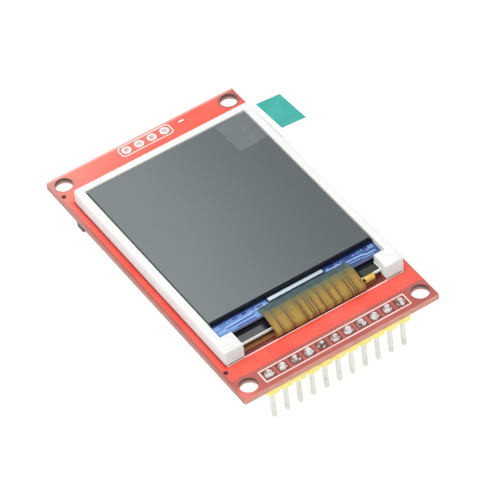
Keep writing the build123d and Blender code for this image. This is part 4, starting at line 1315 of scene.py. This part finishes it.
@dataclass
class CircuitBoard:
    """The board's own copper, ink and plated holes."""

    copper_half: Point = (18.4, 30.5)
    copper_low: float = -26.6
    copper_t: float = 0.03
    trace_t: float = 0.024
    through_t: float = 0.046
    through_r: Span = (0.36, 0.17)
    ink_t: float = 0.015
    bar_t: float = 0.027
    line: float = 0.2
    hole_clear: float = 2.05
    hole_clear_near: float = 2.3
    via_clear: Point = (0.5, 0.55)
    recess: Tuple[Point, Point] = ((-13.75, -23.15), (13.75, -21.5))
    window: Tuple[Point, Point] = ((-16.8, -21.0), (16.8, 23.3))
    eyelets: Tuple[float, ...] = (-3.81, -1.27, 1.27, 3.81)
    eyelet_y: float = 29.2
    eyelet_clear: float = 1.12
    eyelet_box: Tuple[Point, Point] = ((-5.08, 27.93), (5.08, 30.38))
    display_box: Tuple[Point, Point] = ((-17.05, -23.36), (17.05, 23.5))
    bar: Tuple[Point, Point] = ((6.9, 29.3), (7.9, 29.65))
    resistor_x: float = -12.5
    resistor_pitch: float = 3.0
    heap: Tuple[Span, ...] = ((0.0, 0.0), (0.02, 0.2), (0.12, 0.6), (0.24, 0.88), (0.36, 1.0))

    def build(self) -> None:
        """Build the copper under the lacquer, the printed lines, and the holes."""
        dress(Look.BOARD, "circuit_board")
        dress(Look.PLATING, "plated_eyelets")
        self.front_copper().piece("front_copper_pour", Look.COPPER)
        self.front_ink().piece("front_ink_lines", Look.INK)
        self.back_pours().piece("back_copper_pours", Look.COPPER)
        self.back_traces().piece("back_copper_traces", Look.COPPER)
        self.back_pads().piece("back_solder_pads", Look.SOLDER, smooth=60.0)
        self.back_ink().piece("back_ink_lines", Look.INK)

    def layer(self, side: Side, thick: float, under: float = 0.0) -> Tuple[float, float]:
        """Give the two heights of a layer on one face.

        Args:
            side: The face.
            thick: The layer's thickness.
            under: The thickness of what it lies on.

        Returns:
            The heights where the layer starts and where it ends.
        """
        start = (0.0 if side is Side.FRONT else -BOARD_T) + side.value * under
        return start, start + side.value * thick

    def far_holes(self) -> Loop:
        """Draw the copper's edge round the two far mounting holes.

        Returns:
            The edge round the right hole and then round the left one.
        """
        (side, top), (x, y), reach = self.copper_half, MOUNT_HOLE, self.hole_clear
        drop = math.degrees(math.acos((side - x) / reach))
        rise = math.degrees(math.asin((top - y) / reach))
        return arc((x, y), reach, -drop, -180 - rise, 20) + arc((-x, y), reach, rise, -180 + drop, 20)

    def notch(self, via: Point) -> Loop:
        """Draw the notch that keeps the copper clear of a via by the left edge."""
        side, (x, y), (wide, half) = -self.copper_half[0], via, self.via_clear
        return [(side, y + half), (x + wide, y + half), (x + wide, y - half), (side, y - half)]

    def eyelet_gaps(self) -> List[Loop]:
        """Draw the rings that keep the copper clear of the plated holes."""
        return [ring((x, self.eyelet_y), self.eyelet_clear, 24) for x in self.eyelets]

    def front_copper(self) -> Shape:
        """Draw the copper under the front lacquer, clear of holes and edges.

        Returns:
            The copper's shape.
        """
        side, low, reach = self.copper_half[0], self.copper_low, self.hole_clear_near
        lift = math.degrees(math.asin((low + MOUNT_HOLE[1]) / reach))
        outline: Loop = [(-side, low)]
        for x in (-MOUNT_HOLE[0], MOUNT_HOLE[0]):
            outline += arc((x, -MOUNT_HOLE[1]), reach, 180 - lift, lift)
        outline += [(side, low)] + self.far_holes()
        for via in VIAS:
            outline += self.notch(via)
        shape = Shape()
        loops = [outline, panel(*self.recess), panel(*self.window)] + self.eyelet_gaps()
        shape.plate(loops, *self.layer(Side.FRONT, self.copper_t))
        return shape

    def back_pours(self) -> Shape:
        """Draw the broad copper areas under the lacquer on the back.

        Returns:
            The areas' shape.
        """
        x = self.copper_half[0]
        far: Loop = [(-x, 24.6), (-3.0, 24.6), (-2.2, 23.9), (6.6, 23.9), (7.4, 24.6), (x, 24.6)]
        far += self.far_holes() + self.notch(VIAS[0])
        near: Loop = [(-x, -26.2), (-15.0, -26.2), (-15.0, -15.6), (-14.2, -14.8), (-14.2, -9.6),
                      (-15.0, -8.8), (-x, -8.8)] + self.notch(VIAS[1])
        power: Loop = [(3.2, -19.4), (3.2, -15.4), (4.0, -14.6), (15.4, -14.6), (16.2, -15.4),
                       (16.2, -20.4), (15.4, -21.2), (5.0, -21.2)]
        shape = Shape()
        for loops in ([far] + self.eyelet_gaps(), [near], [power]):
            shape.plate(loops, *self.layer(Side.BACK, self.copper_t))
        return shape

    def runs(self) -> List[Tuple[Loop, float]]:
        """List the conductors on the back: the points of each and its width.

        Returns:
            The runs between resistors, pins, contacts and the regulator.
        """
        pins, below, above, legs, far = -27.6, -14.3, -12.7, -20.9, 15.2
        made: List[Tuple[Loop, float]] = []
        for n in range(5):
            chip = self.resistor_x + self.resistor_pitch * n
            pin = (n - 5) * PIN_PITCH
            turn = -18.4
            made.append(([(chip, below), (chip, turn), (pin, turn - abs(pin - chip)), (pin, pins)], 0.32))
            lane = 16.55 + 0.42 * n
            cross = -9.5 - 0.5 * n
            tail = -0.7 + 5.0 * n if n < 4 else 16.8
            made.append(([(chip, above), (chip, cross - 0.4), (chip + 0.4, cross), (lane - 0.7, cross),
                          (lane, cross + 0.7), (lane, tail - 0.6), (lane - 0.6, tail), (far, tail)], 0.24))
        made.append(([(0.0, pins), (0.0, -24.4), (1.4, -23.0), (1.4, -13.2)], 0.4))
        made.append(([(PIN_PITCH, pins), (PIN_PITCH, -23.4), (5.0, legs)], 0.5))
        made += [([(n * PIN_PITCH, pins), (n * PIN_PITCH, legs)], 0.9) for n in (4, 5)]
        made.append(([(3 * PIN_PITCH, pins), (3 * PIN_PITCH, -24.0), (6.4, -22.78), (6.4, legs)], 0.4))
        made += [([(x, 24.4), (x, 25.4)], 1.2) for x in (-8.7, 10.9)]
        made += [([(x, self.eyelet_y), (x, 27.0), (x - 0.9, 26.1)], 0.4) for x in self.eyelets[::2]]
        return made

    def back_traces(self) -> Shape:
        """Lay the conductors and their small lacquered through holes on the back.

        Returns:
            The conductors' shape.
        """
        shape = Shape()
        for way, wide in self.runs():
            shape.plate([ribbon(way, wide)], *self.layer(Side.BACK, self.trace_t))
        spots = ((1.4, -12.9), (-16.4, -12.4), (-16.4, -17.2), (-16.4, -21.8), (-9.6, 26.6), (9.2, 26.2),
                 (14.6, 25.7), (-14.0, 25.6), (4.2, -20.2), (15.2, -16.2), (17.0, -24.0), (-5.6, -20.6),
                 (6.2, -11.6))
        heights = self.layer(Side.BACK, self.through_t)
        outer, inner = self.through_r
        for spot in spots:
            shape.plate([ring(spot, outer, 20), ring(spot, inner, 12)], *heights)
        return shape

    def mound(self, shape: Shape, low: Point, high: Point, tall: float) -> None:
        """Heap solder on a pad of the back.

        Args:
            shape: The shape that it joins.
            low: The pad's lower left corner.
            high: Its upper right corner.
            tall: How far the solder stands out.
        """
        wide = min(high[0] - low[0], high[1] - low[1])
        rims = []
        for inset, share in self.heap:
            cut = inset * wide
            loop = panel((low[0] + cut, low[1] + cut), (high[0] - cut, high[1] - cut), 0.12 * wide)
            rims.append([(x, y, -BOARD_T - 0.005 - tall * share) for x, y in loop])
        shape.loft(rims)

    def back_pads(self) -> Shape:
        """Solder the contact tails, the cover's feet, the regulator and the chips to the back.

        Returns:
            The soldered pads' shape.
        """
        shape = Shape()
        for y in (-3.2 + 2.5 * n for n in range(9)):
            self.mound(shape, (14.15, y - 0.52), (16.1, y + 0.52), 0.12)
        for x in (-8.7, 10.9):
            for low_y, high_y in ((-8.4, -6.9), (22.7, 24.2)):
                self.mound(shape, (x - 1.5, low_y), (x + 1.5, high_y), 0.14)
        for low, high in islands("regulator_leads"):
            away = 0.3 if (low.y + high.y) / 2 > -17.5 else -0.3
            near, far = min(low.y, low.y + away), max(high.y, high.y + away)
            self.mound(shape, (low.x - 0.2, near - 0.1), (high.x + 0.2, far + 0.1), 0.1)
        for kind, count, side in (("resistor", 5, 0.12), ("capacitor", 2, 0.2)):
            for n in range(1, count + 1):
                low, high = box_of("chip_%s_%d" % (kind, n))
                for under, over in ((low.y - 0.36, low.y + 0.26), (high.y - 0.26, high.y + 0.36)):
                    self.mound(shape, (low.x - side, under), (high.x + side, over), 0.14)
        return shape

    def box_line(self, shape: Shape, low: Point, high: Point, cut: float, heights: Span) -> None:
        """Print a box as a thin line.

        Args:
            shape: The shape that it joins.
            low: The box's lower left corner, on the line's middle.
            high: Its upper right corner.
            cut: How much its corners are cut.
            heights: Where the ink starts and ends.
        """
        half = self.line / 2
        outer = panel((low[0] - half, low[1] - half), (high[0] + half, high[1] + half), cut)
        inner = panel((low[0] + half, low[1] + half), (high[0] - half, high[1] - half), cut * 0.8)
        shape.plate([outer, inner], *heights)

    def front_ink(self) -> Shape:
        """Print the boxes round the pins, the plated holes and the display.

        Returns:
            The ink's shape.
        """
        shape = Shape()
        bare = self.layer(Side.FRONT, self.ink_t)
        raised = self.layer(Side.FRONT, self.ink_t, self.copper_t)
        half = PIN_WAYS * PIN_PITCH / 2
        self.box_line(shape, (-half, PIN_ROW - 1.27), (half, PIN_ROW + 1.27), 0.12, bare)
        self.box_line(shape, *self.eyelet_box, 0.5, raised)
        self.box_line(shape, *self.display_box, 0.0, raised)
        shape.plate([panel(*self.bar)], *raised)
        return shape

    def back_ink(self) -> Shape:
        """Print the plain boxes and bars that mark the parts on the back.

        Returns:
            The ink's shape.
        """
        shape = Shape()
        bare = self.layer(Side.BACK, self.ink_t)
        raised = self.layer(Side.BACK, self.ink_t, self.copper_t)
        self.box_line(shape, (-14.1, -30.1), (14.1, -27.3), 0.12, bare)
        self.box_line(shape, *self.eyelet_box, 0.5, raised)
        self.box_line(shape, (9.6, -19.9), (14.4, -15.1), 0.0, raised)
        for n in range(6):
            between = (self.resistor_x + self.resistor_pitch * (n - 0.5), -13.5)
            shape.plate([panel_at(between, 0.18, 2.0)], *self.layer(Side.BACK, self.bar_t))
        for x in (3.3, 6.2, 9.1):
            shape.plate([panel_at((x, -17.5), 0.18, 2.8)], *raised)
        for x in (-18.4, -18.1):
            shape.plate([panel_at((x, -7.25), 0.14, 0.7)], *bare)
        return shape


@dataclass
class PinRow:
    """The pins, their solder and the yellow strip that holds them."""

    foot_r: float = 0.9
    neck_r: float = 0.46
    high: float = 0.7
    hole_r: float = 0.51
    lean: float = 0.06
    sides: int = 28

    def build(self) -> None:
        """Build the strip, the pins and the solder joints."""
        softened("header_strip", 0.06).piece("yellow_pin_strip", Look.YELLOW, ["header_strip"])
        for n in range(1, PIN_WAYS + 1):
            node = "header_pin_%02d" % n
            softened(node, 0.05).piece("square_pin_%02d" % n, Look.PIN, [node])
        self.solder().piece("pin_solder", Look.JOINT, ["header_solder_joints"], 60.0)

    def solder(self) -> Shape:
        """Build one uneven solder cone on each pin.

        Returns:
            The joints' shape.
        """
        lot = random.Random(11)
        shape = Shape()
        for x in ((n - (PIN_WAYS - 1) / 2) * PIN_PITCH for n in range(PIN_WAYS)):
            lean = (lot.uniform(-self.lean, self.lean), lot.uniform(-self.lean, self.lean))
            foot = self.foot_r * lot.uniform(0.94, 1.0)
            tall = self.high * lot.uniform(0.86, 1.0)
            profile = [(self.hole_r, -BOARD_T), (self.hole_r, -0.02), (foot * 0.98, 0.0), (foot, 0.035),
                       (foot * 0.9, 0.1), (foot * 0.76, 0.2), (self.foot_r * 0.65, 0.34),
                       (self.neck_r * 1.12, tall * 0.8), (self.neck_r, tall)]
            phase = lot.uniform(0, 6.28)
            rings = []
            for radius, z in profile:
                share = max(0.0, z / self.high)
                points = []
                for angle in (2 * math.pi * k / self.sides for k in range(self.sides)):
                    wobble = 1 + 0.035 * math.sin(2 * angle + phase) + 0.02 * math.sin(3 * angle - phase)
                    reach = radius * (wobble if z >= 0 else 1.0)
                    points.append((x + lean[0] * share + reach * math.cos(angle),
                                   PIN_ROW + lean[1] * share + reach * math.sin(angle), z))
                rings.append(points)
            shape.loft(rings)
        return shape


@dataclass
class DisplayPanel:
    """The white frame and everything in it."""

    edge: float = 0.09
    ledge_back: float = -16.51
    chip: Span = (-5.0, 5.6)
    line: float = 0.11
    film: float = 0.006
    violet_lift: float = 0.003
    band: float = 0.55
    print_t: float = 0.003
    rim: Tuple[Span, ...] = ((0.22, 0.0), (0.2, 0.02), (0.07, 0.09), (0.02, 0.13))

    def build(self) -> None:
        """Build the frame and dress the sheets, the glass and the chip."""
        softened("display_frame", self.edge, 30.0).piece("white_display_frame", Look.FRAME, ["display_frame"])
        dress(Look.FOAM, "mounting_tape")
        dress(Look.REFLECTOR, "reflector_sheet")
        dress(Look.GUIDE, "light_guide")
        dress(Look.DIFFUSER, "diffuser_sheet", "lower_prism_sheet", "upper_prism_sheet")
        dress(Look.TAPE, "light_shield_tape")
        dress(Look.DIODE, "backlight_led_1", "backlight_led_2", "backlight_led_3")
        dress(Look.FACE, "rear_polarizer", "front_polarizer")
        dress(Look.FILM_FACE, "protective_film")
        dress(Look.ARRAY, "array_glass")
        dress(Look.FILTER, "filter_glass")
        softened("driver_chip", 0.04).piece("driver_chip_bar", Look.SILICON, ["driver_chip"])
        self.underfill().piece("chip_underfill_rim", Look.UNDERFILL)
        self.bus_lines().piece("glass_bus_lines", Look.CIRCUIT)
        self.dark_patches().piece("glass_dark_patches", Look.CIRCUIT_DARK)
        self.violet_patches().piece("glass_violet_patches", Look.CIRCUIT_VIOLET)
        self.edge_mask().piece("display_edge_black_and_shade", Look.MASK)

    def edge_mask(self) -> Shape:
        """Print the black band along the display's front edge: partly the display's black border, partly
        painted shade.

        Returns:
            The band's shape.
        """
        shape = Shape()
        top = box_of("protective_film")[1].z
        low, high = box_of("front_polarizer")
        shape.plate([panel((low.x, low.y), (high.x, low.y + self.band))], top, top + self.print_t)
        return shape

    def underfill(self) -> Shape:
        """Spread the dark resin rim that creeps out from under the driver chip.

        Returns:
            The rim's shape.
        """
        shape = Shape()
        low, high = box_of("driver_chip")
        rims = []
        for out, rise in self.rim:
            corner = (high.x + out, min(high.y + out, self.ledge_back))
            edge = panel((low.x - out, low.y - out), corner, 0.06)
            rims.append([(x, y, GLASS_LEDGE + rise) for x, y in edge])
        shape.loft(rims)
        return shape

    def bus_lines(self) -> Shape:
        """Lay the bright bus lines that step towards the cable on both sides of the chip.

        Returns:
            The lines' shape.
        """
        shape = Shape()
        heights = (GLASS_LEDGE, GLASS_LEDGE + self.film)
        left, right = self.chip
        broad, fine = self.line * 2.0, self.line * 0.9
        ways = (
            (broad, [(-15.3, -18.15), (-14.2, -18.15), (-13.5, -17.75), (-8.9, -17.6), (-8.2, -17.3),
                     (left - 0.6, -17.25)]),
            (fine, [(-9.6, -17.2), (-8.5, -16.98), (left - 0.8, -16.9)]),
            (fine, [(-14.0, -18.5), (-12.6, -18.45), (-8.4, -18.3), (-7.8, -18.05), (-7.0, -18.0)]),
            (broad, [(right + 0.5, -17.25), (8.6, -17.35), (9.3, -17.65), (12.6, -17.75), (13.4, -18.1),
                     (15.2, -18.15)]),
            (fine, [(9.9, -18.25), (12.2, -18.35), (13.0, -18.6), (14.6, -18.62)]),
        )
        for wide, way in ways:
            shape.plate([ribbon(way, wide)], *heights)
        for x in (-14.95, 14.95):
            middle = (x, -17.035)
            shape.plate([panel_at(middle, 0.84, 0.63), panel_at(middle, 0.6, 0.39)], *heights)
            shape.plate([panel_at((x, -17.03), 0.24, 0.14)], *heights)
        for x in (-12.9, -12.3, 12.7, 13.3):
            shape.plate([panel_at((x, -16.88), 0.24, 0.24)], *heights)
        return shape

    def dark_patches(self) -> Shape:
        """Lay the dark circuit patches between the bus lines and the masked glass."""
        return self.patches((
            (-11.4, -16.95, 0.9, 0.3), (-9.6, -16.9, 0.9, 0.46), (-7.9, -16.9, 0.6, 0.46),
            (-6.7, -17.1, 1.2, 0.3), (-11.0, -17.98, 5.2, 0.16), (7.3, -16.95, 0.6, 0.4),
            (10.4, -17.1, 0.9, 0.4), (13.9, -16.8, 1.0, 0.34), (11.2, -18.6, 2.2, 0.24),
            (-10.2, -18.75, 3.6, 0.2)), self.film)

    def violet_patches(self) -> Shape:
        """Lay the violet patches, a little higher than the dark ones that they cross."""
        return self.patches((
            (-8.75, -16.9, 0.6, 0.42), (-12.2, -16.9, 0.4, 0.3), (14.2, -17.3, 0.5, 0.3),
            (-7.9, -16.86, 0.4, 0.3), (6.5, -16.98, 0.45, 0.34), (8.2, -17.0, 0.45, 0.34),
            (9.1, -17.0, 0.35, 0.34), (11.6, -17.0, 0.5, 0.36), (12.3, -17.0, 0.35, 0.36),
            (-10.6, -16.86, 0.3, 0.3)), self.film + self.violet_lift)

    def patches(self, spots: Sequence[Tuple[float, float, float, float]], thick: float) -> Shape:
        """Lay patches on the glass ledge.

        Args:
            spots: The middle of each, its width and its depth.
            thick: Their thickness.

        Returns:
            The patches' shape.
        """
        shape = Shape()
        for x, y, wide, deep in spots:
            shape.plate([panel_at((x, y), wide, deep, 0.05)], GLASS_LEDGE, GLASS_LEDGE + thick)
        return shape


@dataclass
class MainFlex:
    """The wide flexible cable, from its bond on the glass to its soldered tail."""

    left: float = -7.45
    right: float = 9.9
    thick: float = 0.12
    tail_left: float = -13.5
    tail_right: float = 12.3
    tail_high: float = -14.4
    lay: float = 0.12
    way: Tuple[Point, ...] = ((-17.8, 2.12), (-19.9, 2.12), (-23.14, 1.16), (-23.14, 0.12), (-22.4, 0.12))
    bends: Place = (2.2, 0.42, 0.42)
    gaps: Tuple[Place, ...] = (
        (-6.1, 0.16, 0.8), (-4.1, 0.16, 0.8), (-1.45, 0.62, 0.4), (-0.25, 0.12, 0.8), (0.2, 0.12, 0.8),
        (0.8, 0.14, 0.8), (2.15, 0.16, 0.8), (3.9, 0.5, 0.4), (5.3, 0.16, 0.8), (7.25, 0.13, 0.9),
        (7.85, 0.13, 0.9), (8.3, 0.12, 0.9))
    relief: float = 0.016
    bead_end: float = 0.12

    def columns(self) -> Tuple[np.ndarray, np.ndarray, np.ndarray]:
        """Lay out the cable's width, with stations at each gap's edges.

        Returns:
            Where the stations are, whether each is in a gap, and how near each is to a trace's middle.
        """
        stations = set(np.round(np.linspace(self.left, self.right, 52), 3))
        for middle, wide, _ in self.gaps:
            stations = {s for s in stations if abs(s - middle) > wide / 2 + 0.08}
            for out in (-1, 1):
                stations |= {round(middle + out * wide / 2, 3), round(middle + out * (wide / 2 + 0.05), 3)}
            stations.add(round(middle, 3))
        xs = np.array(sorted(stations))
        gap = np.array([max(strong * float(abs(x - m) < w / 2 + 0.01) for m, w, strong in self.gaps)
                        for x in xs])
        walls = sorted([self.left] + [m for m, _, _ in self.gaps] + [self.right])
        swell = np.zeros(len(xs))
        for n, x in enumerate(xs):
            low = max(w for w in walls if w <= x + 1e-6)
            high = min([w for w in walls if w > x + 1e-6] or [self.right])
            if high > low:
                share = min(1.0, max(0.0, (x - low) / (high - low)))
                swell[n] = math.sin(math.pi * share) * min(1.0, high - low)
        return xs, gap, swell

    def build(self) -> None:
        """Build the cable with its soldered lands, the resin bead and the backlight's cable."""
        self.cable().piece("main_flex_sheet", Look.AMBER, ["main_flex"], 40.0)
        self.bead().piece("bond_resin_bead", Look.BEAD, smooth=60.0)
        dress(Look.SOLDER, "flex_solder_joints")
        softened("backlight_flex", 0.03).piece("backlight_flex_strip", Look.AMBER_TAIL, ["backlight_flex"])

    def cable(self) -> Shape:
        """Build the cable as one sheet that slopes, folds and widens.

        Returns:
            The cable's shape.
        """
        way = rounded_path(self.way, self.bends, 0.22)
        shoulder = len(way) - 1
        way += [(y, self.lay) for y in np.arange(-21.9, self.tail_high + 0.01, 0.5)]
        line = np.array(way)
        steps, ahead = measured(line)
        xs, gap, swell = self.columns()
        left = [self.tail_left, self.tail_left + 0.3, -11.0, -9.0]
        right = [10.6, 11.4, self.tail_right - 0.3, self.tail_right]
        xs = np.concatenate([left, xs, right])
        gap, swell = np.pad(gap, 4), np.pad(swell, 4)
        rows, columns = len(line), len(xs)
        places = np.zeros((rows, columns, 3))
        places[:, :, 0] = xs
        places[:, :, 1:] = line[:, None]
        normals = np.zeros_like(places)
        normals[:, :, 1] = ahead[:, 1, None]
        normals[:, :, 2] = -ahead[:, 0, None]
        neck = (xs[:-1] >= self.left - 0.001) & (xs[1:] <= self.right + 0.001)
        present = neck[None, :] | (np.arange(rows - 1) >= shoulder)[:, None]
        marks = {"trace_gap": np.tile(gap, (rows, 1)), "trace_swell": np.tile(swell, (rows, 1)),
                 "along": np.tile(steps[:, None], (1, columns))}
        lift = self.relief * (1 - marks["trace_gap"]) * ~np.isin(xs, [self.left, self.right])
        lift *= (steps > 0.3)[:, None]
        shape = Shape()
        shape.sheet(places, normals, self.thick, present, marks, lift)
        return shape

    def bead(self) -> Shape:
        """Lay the soft resin bead that seals the cable's end to the glass.

        Returns:
            The bead's shape.
        """
        phase = random.Random(5).uniform(0, 6.28)
        shape = Shape()
        rings = []
        for share in (n / 40 for n in range(41)):
            x = self.left - self.bead_end + (self.right - self.left + 2 * self.bead_end) * share
            end = min(1.0, 14 * share, 14 * (1 - share)) ** 0.5
            wave = 0.05 * math.sin(9 * share + phase) + 0.04 * math.sin(23 * share) - 0.22 * (1 - end)
            profile = [(-17.42 + wave, 0.0), (-17.5 + wave, 0.05), (-17.66 + wave, 0.13),
                       (-17.9 + wave, 0.17), (-18.4, 0.158), (-18.8, 0.14), (-18.95, 0.08), (-18.95, 0.0)]
            rings.append([(x, y, GLASS_LEDGE + z * end + 0.002) for y, z in profile])
        shape.loft(rings)
        return shape


@dataclass
class PullTab:
    """The clear strip stuck on the film and its coloured grip."""

    turned: float = 2.5
    pivot: Point = (17.35, 18.23)
    wide: float = 7.6
    thick: float = 0.05
    lift: float = 0.012
    length: float = 13.62
    grip_length: float = 5.0
    grip_thick: float = 0.08
    way: Tuple[Point, ...] = ((9.8, 2.845), (13.45, 2.845), (14.95, 3.025), (17.6, 3.025), (23.3, 2.275))
    bends: Place = (1.5, 1.5, 1.5)

    def build(self) -> None:
        """Build the strip and the grip as thin sheets that follow one line."""
        strip = self.sheet(0.0, self.thick, self.lift)
        strip.piece("pull_tab_film", Look.CLEAR, ["pull_tab_strip"], 50.0)
        grip = self.sheet(1.0 - self.grip_length / self.length, self.grip_thick, self.lift + self.thick)
        grip.piece("pull_tab_teal_grip", Look.TEAL, ["pull_tab_grip"], 50.0)

    def sheet(self, start: float, thick: float, lift: float) -> Shape:
        """Build one layer of the tab along its line, up to the outer end.

        Args:
            start: Where it starts, as a share of the line's length.
            thick: Its thickness.
            lift: How far its lower face is above the line's own lower face.

        Returns:
            The layer's shape.
        """
        line = np.array(rounded_path(self.way, self.bends, 0.4))
        steps, _ = measured(line)
        stops = np.linspace(start, 1.0, 40) * steps[-1]
        xs, zs = (np.interp(stops, steps, line[:, n]) for n in (0, 1))
        _, ahead = measured(np.stack([xs, zs], axis=1))
        across = np.linspace(-self.wide / 2, self.wide / 2, 13)
        cos, sin = math.cos(math.radians(self.turned)), math.sin(math.radians(self.turned))
        out = lift + thick / 2 - self.thick / 2
        places = np.zeros((len(xs), len(across), 3))
        normals = np.zeros_like(places)
        for n, (x, z) in enumerate(zip(xs, zs)):
            along = x - ahead[n, 1] * out - self.pivot[0]
            places[n, :, 0] = self.pivot[0] + along * cos - across * sin
            places[n, :, 1] = self.pivot[1] + along * sin + across * cos
            places[n, :, 2] = z + ahead[n, 0] * out
            normals[n, :] = (-ahead[n, 1] * cos, -ahead[n, 1] * sin, ahead[n, 0])
        shape = Shape()
        shape.sheet(places, normals, thick, np.ones((len(xs) - 1, len(across) - 1), bool))
        return shape


@dataclass
class CardSocket:
    """The memory card socket under the board."""

    base_edge: float = 0.06
    cover_edge: float = 0.05
    sharp: float = 40.0

    def build(self) -> None:
        """Build the base and the cover, and dress the contacts and the switch springs."""
        base = softened("card_socket_base", self.base_edge, self.sharp)
        base.piece("card_socket_moulding", Look.SOCKET, ["card_socket_base"])
        cover = softened("card_socket_shell", self.cover_edge, self.sharp)
        cover.piece("card_socket_cover", Look.STEEL, ["card_socket_shell"])
        dress(Look.SPRING, *("card_contact_%d" % n for n in range(1, 10)))
        dress(Look.SPRING, "card_detect_spring", "write_lock_spring")


@dataclass
class BackParts:
    """The regulator, resistors and capacitors on the board's back."""

    cap: float = 0.3

    def build(self) -> None:
        """Build the small parts with their tinned ends."""
        softened("regulator_body", 0.04).piece("regulator_case", Look.EPOXY, ["regulator_body"])
        dress(Look.LEAD, "regulator_leads")
        for kind, count, look in (("resistor", 5, Look.RESISTOR), ("capacitor", 2, Look.CAPACITOR)):
            for n in range(1, count + 1):
                node = "chip_%s_%d" % (kind, n)
                low, high = box_of(node)
                middle, reach = (low.y + high.y) / 2, (high.y - low.y) / 2 - self.cap + 0.01
                softened(node, 0.03).piece(
                    "chip_%s_case_%d" % (kind, n), look, [node],
                    second=(Look.SOLDER, lambda p, m=middle, r=reach: abs(p.y - m) > r))


@dataclass
class Studio:
    """A pale table, soft light and a camera where the photograph was taken."""

    camera_at: Place = (-191.239, -367.845, 417.048)
    right: Place = (0.834606, -0.54316, -0.091708)
    down: Place = (-0.443773, -0.564359, -0.696107)
    forward: Place = (0.326342, 0.621672, -0.712057)
    lens: float = 256.41
    sensor: float = 36.0
    pin_tip: Point = (-28.7, -10.14)
    socket_foot: Point = (23.6, -4.1)
    table_half: float = 3000.0
    table_pale: Colour = (0.32, 0.32, 0.32, 1)
    table_dark: Colour = (0.3, 0.3, 0.3, 1)
    table_glow: float = 0.78
    air_low: Colour = (0.9, 0.91, 0.93, 1)
    air_high: Colour = (1.0, 1.0, 1.0, 1)
    air_strength: float = 0.8
    lamp_at: Place = (-150, 60, 520)
    lamp_size: float = 420
    lamp_power: float = 2.0

    def build(self) -> None:
        """Set out the table, the light and the camera."""
        self.table()
        self.air()
        self.lamp()
        self.camera()

    def table(self) -> None:
        """Lay a pale table under the pin tips and the socket's far edge; it is clear from below."""
        slope = (self.socket_foot[1] - self.pin_tip[1]) / (self.socket_foot[0] - self.pin_tip[0])
        rise = self.pin_tip[1] - slope * self.pin_tip[0]
        half = self.table_half
        mesh = bmesh.new()
        corners = [(x, y, slope * y + rise) for x, y in panel((-half, -half), (half, half))]
        mesh.faces.new([mesh.verts.new(tuple(c * MM for c in corner)) for corner in corners])
        data = bpy.data.meshes.new("table_top")
        mesh.to_mesh(data)
        mesh.free()
        table = bpy.data.objects.new("table_top", data)
        bpy.context.scene.collection.objects.link(table)
        material = bpy.data.materials.new("pale_table")
        material.use_nodes = True
        material.node_tree.nodes.clear()
        wiring = Wiring(material.node_tree)
        pale = wiring.blend(wiring.noise(0.02), self.table_pale, self.table_dark)
        matt = wiring.node("ShaderNodeBsdfPrincipled", {
            "Base Color": pale, "Roughness": 0.9, "Specular IOR Level": 0.0,
            "Emission Color": (1, 1, 1, 1), "Emission Strength": self.table_glow})
        clear = wiring.node("ShaderNodeBsdfTransparent")
        under = wiring.node("ShaderNodeNewGeometry").outputs["Backfacing"]
        both = wiring.node("ShaderNodeMixShader", {0: under, 1: matt.outputs[0], 2: clear.outputs[0]})
        wiring.node("ShaderNodeOutputMaterial", {"Surface": both.outputs[0]})
        data.materials.append(material)

    def air(self) -> None:
        """Light the table evenly from all round."""
        world = bpy.data.worlds.new("studio_air")
        bpy.context.scene.world = world
        world.use_nodes = True
        world.node_tree.nodes.clear()
        wiring = Wiring(world.node_tree)
        height = wiring.split(wiring.node("ShaderNodeTexCoord").outputs["Generated"])[2]
        tone = wiring.blend(wiring.step(height, -0.2, 0.9), self.air_low, self.air_high)
        air = wiring.node("ShaderNodeBackground", {"Color": tone, "Strength": self.air_strength})
        wiring.node("ShaderNodeOutputWorld", {"Surface": air.outputs[0]})

    def lamp(self) -> None:
        """Hang one broad soft lamp above the module."""
        data = bpy.data.lights.new("overhead_softbox", "AREA")
        data.shape = "RECTANGLE"
        data.size = data.size_y = self.lamp_size * MM
        data.energy = self.lamp_power
        made = bpy.data.objects.new("overhead_softbox", data)
        made.location = Vector(self.lamp_at) * MM
        made.rotation_mode = "QUATERNION"
        made.rotation_quaternion = (-Vector(self.lamp_at)).to_track_quat("-Z", "Y")
        bpy.context.scene.collection.objects.link(made)

    def camera(self) -> None:
        """Stand the camera where the photograph was taken from."""
        data = bpy.data.cameras.new("photo_camera")
        data.lens = self.lens
        data.sensor_width = self.sensor
        data.clip_start, data.clip_end = 0.01, 20.0
        made = bpy.data.objects.new("photo_camera", data)
        columns = [Vector(self.right), -Vector(self.down), -Vector(self.forward)]
        turn = Matrix([[column[n] for column in columns] for n in range(3)]).to_4x4()
        made.matrix_world = Matrix.Translation(Vector(self.camera_at) * MM) @ turn
        bpy.context.scene.collection.objects.link(made)
        bpy.context.scene.camera = made
        bpy.context.scene.view_settings.view_transform = "Standard"


def main() -> None:
    """Build every part of the module and its studio."""
    logging.basicConfig(level=logging.INFO, format="%(name)s: %(message)s")
    for part in (CircuitBoard(), PinRow(), DisplayPanel(), MainFlex(), PullTab(), CardSocket(), BackParts(),
                 Studio()):
        part.build()
        LOG.info("finished %s", type(part).__name__)


if __name__ == "__main__":
    main()
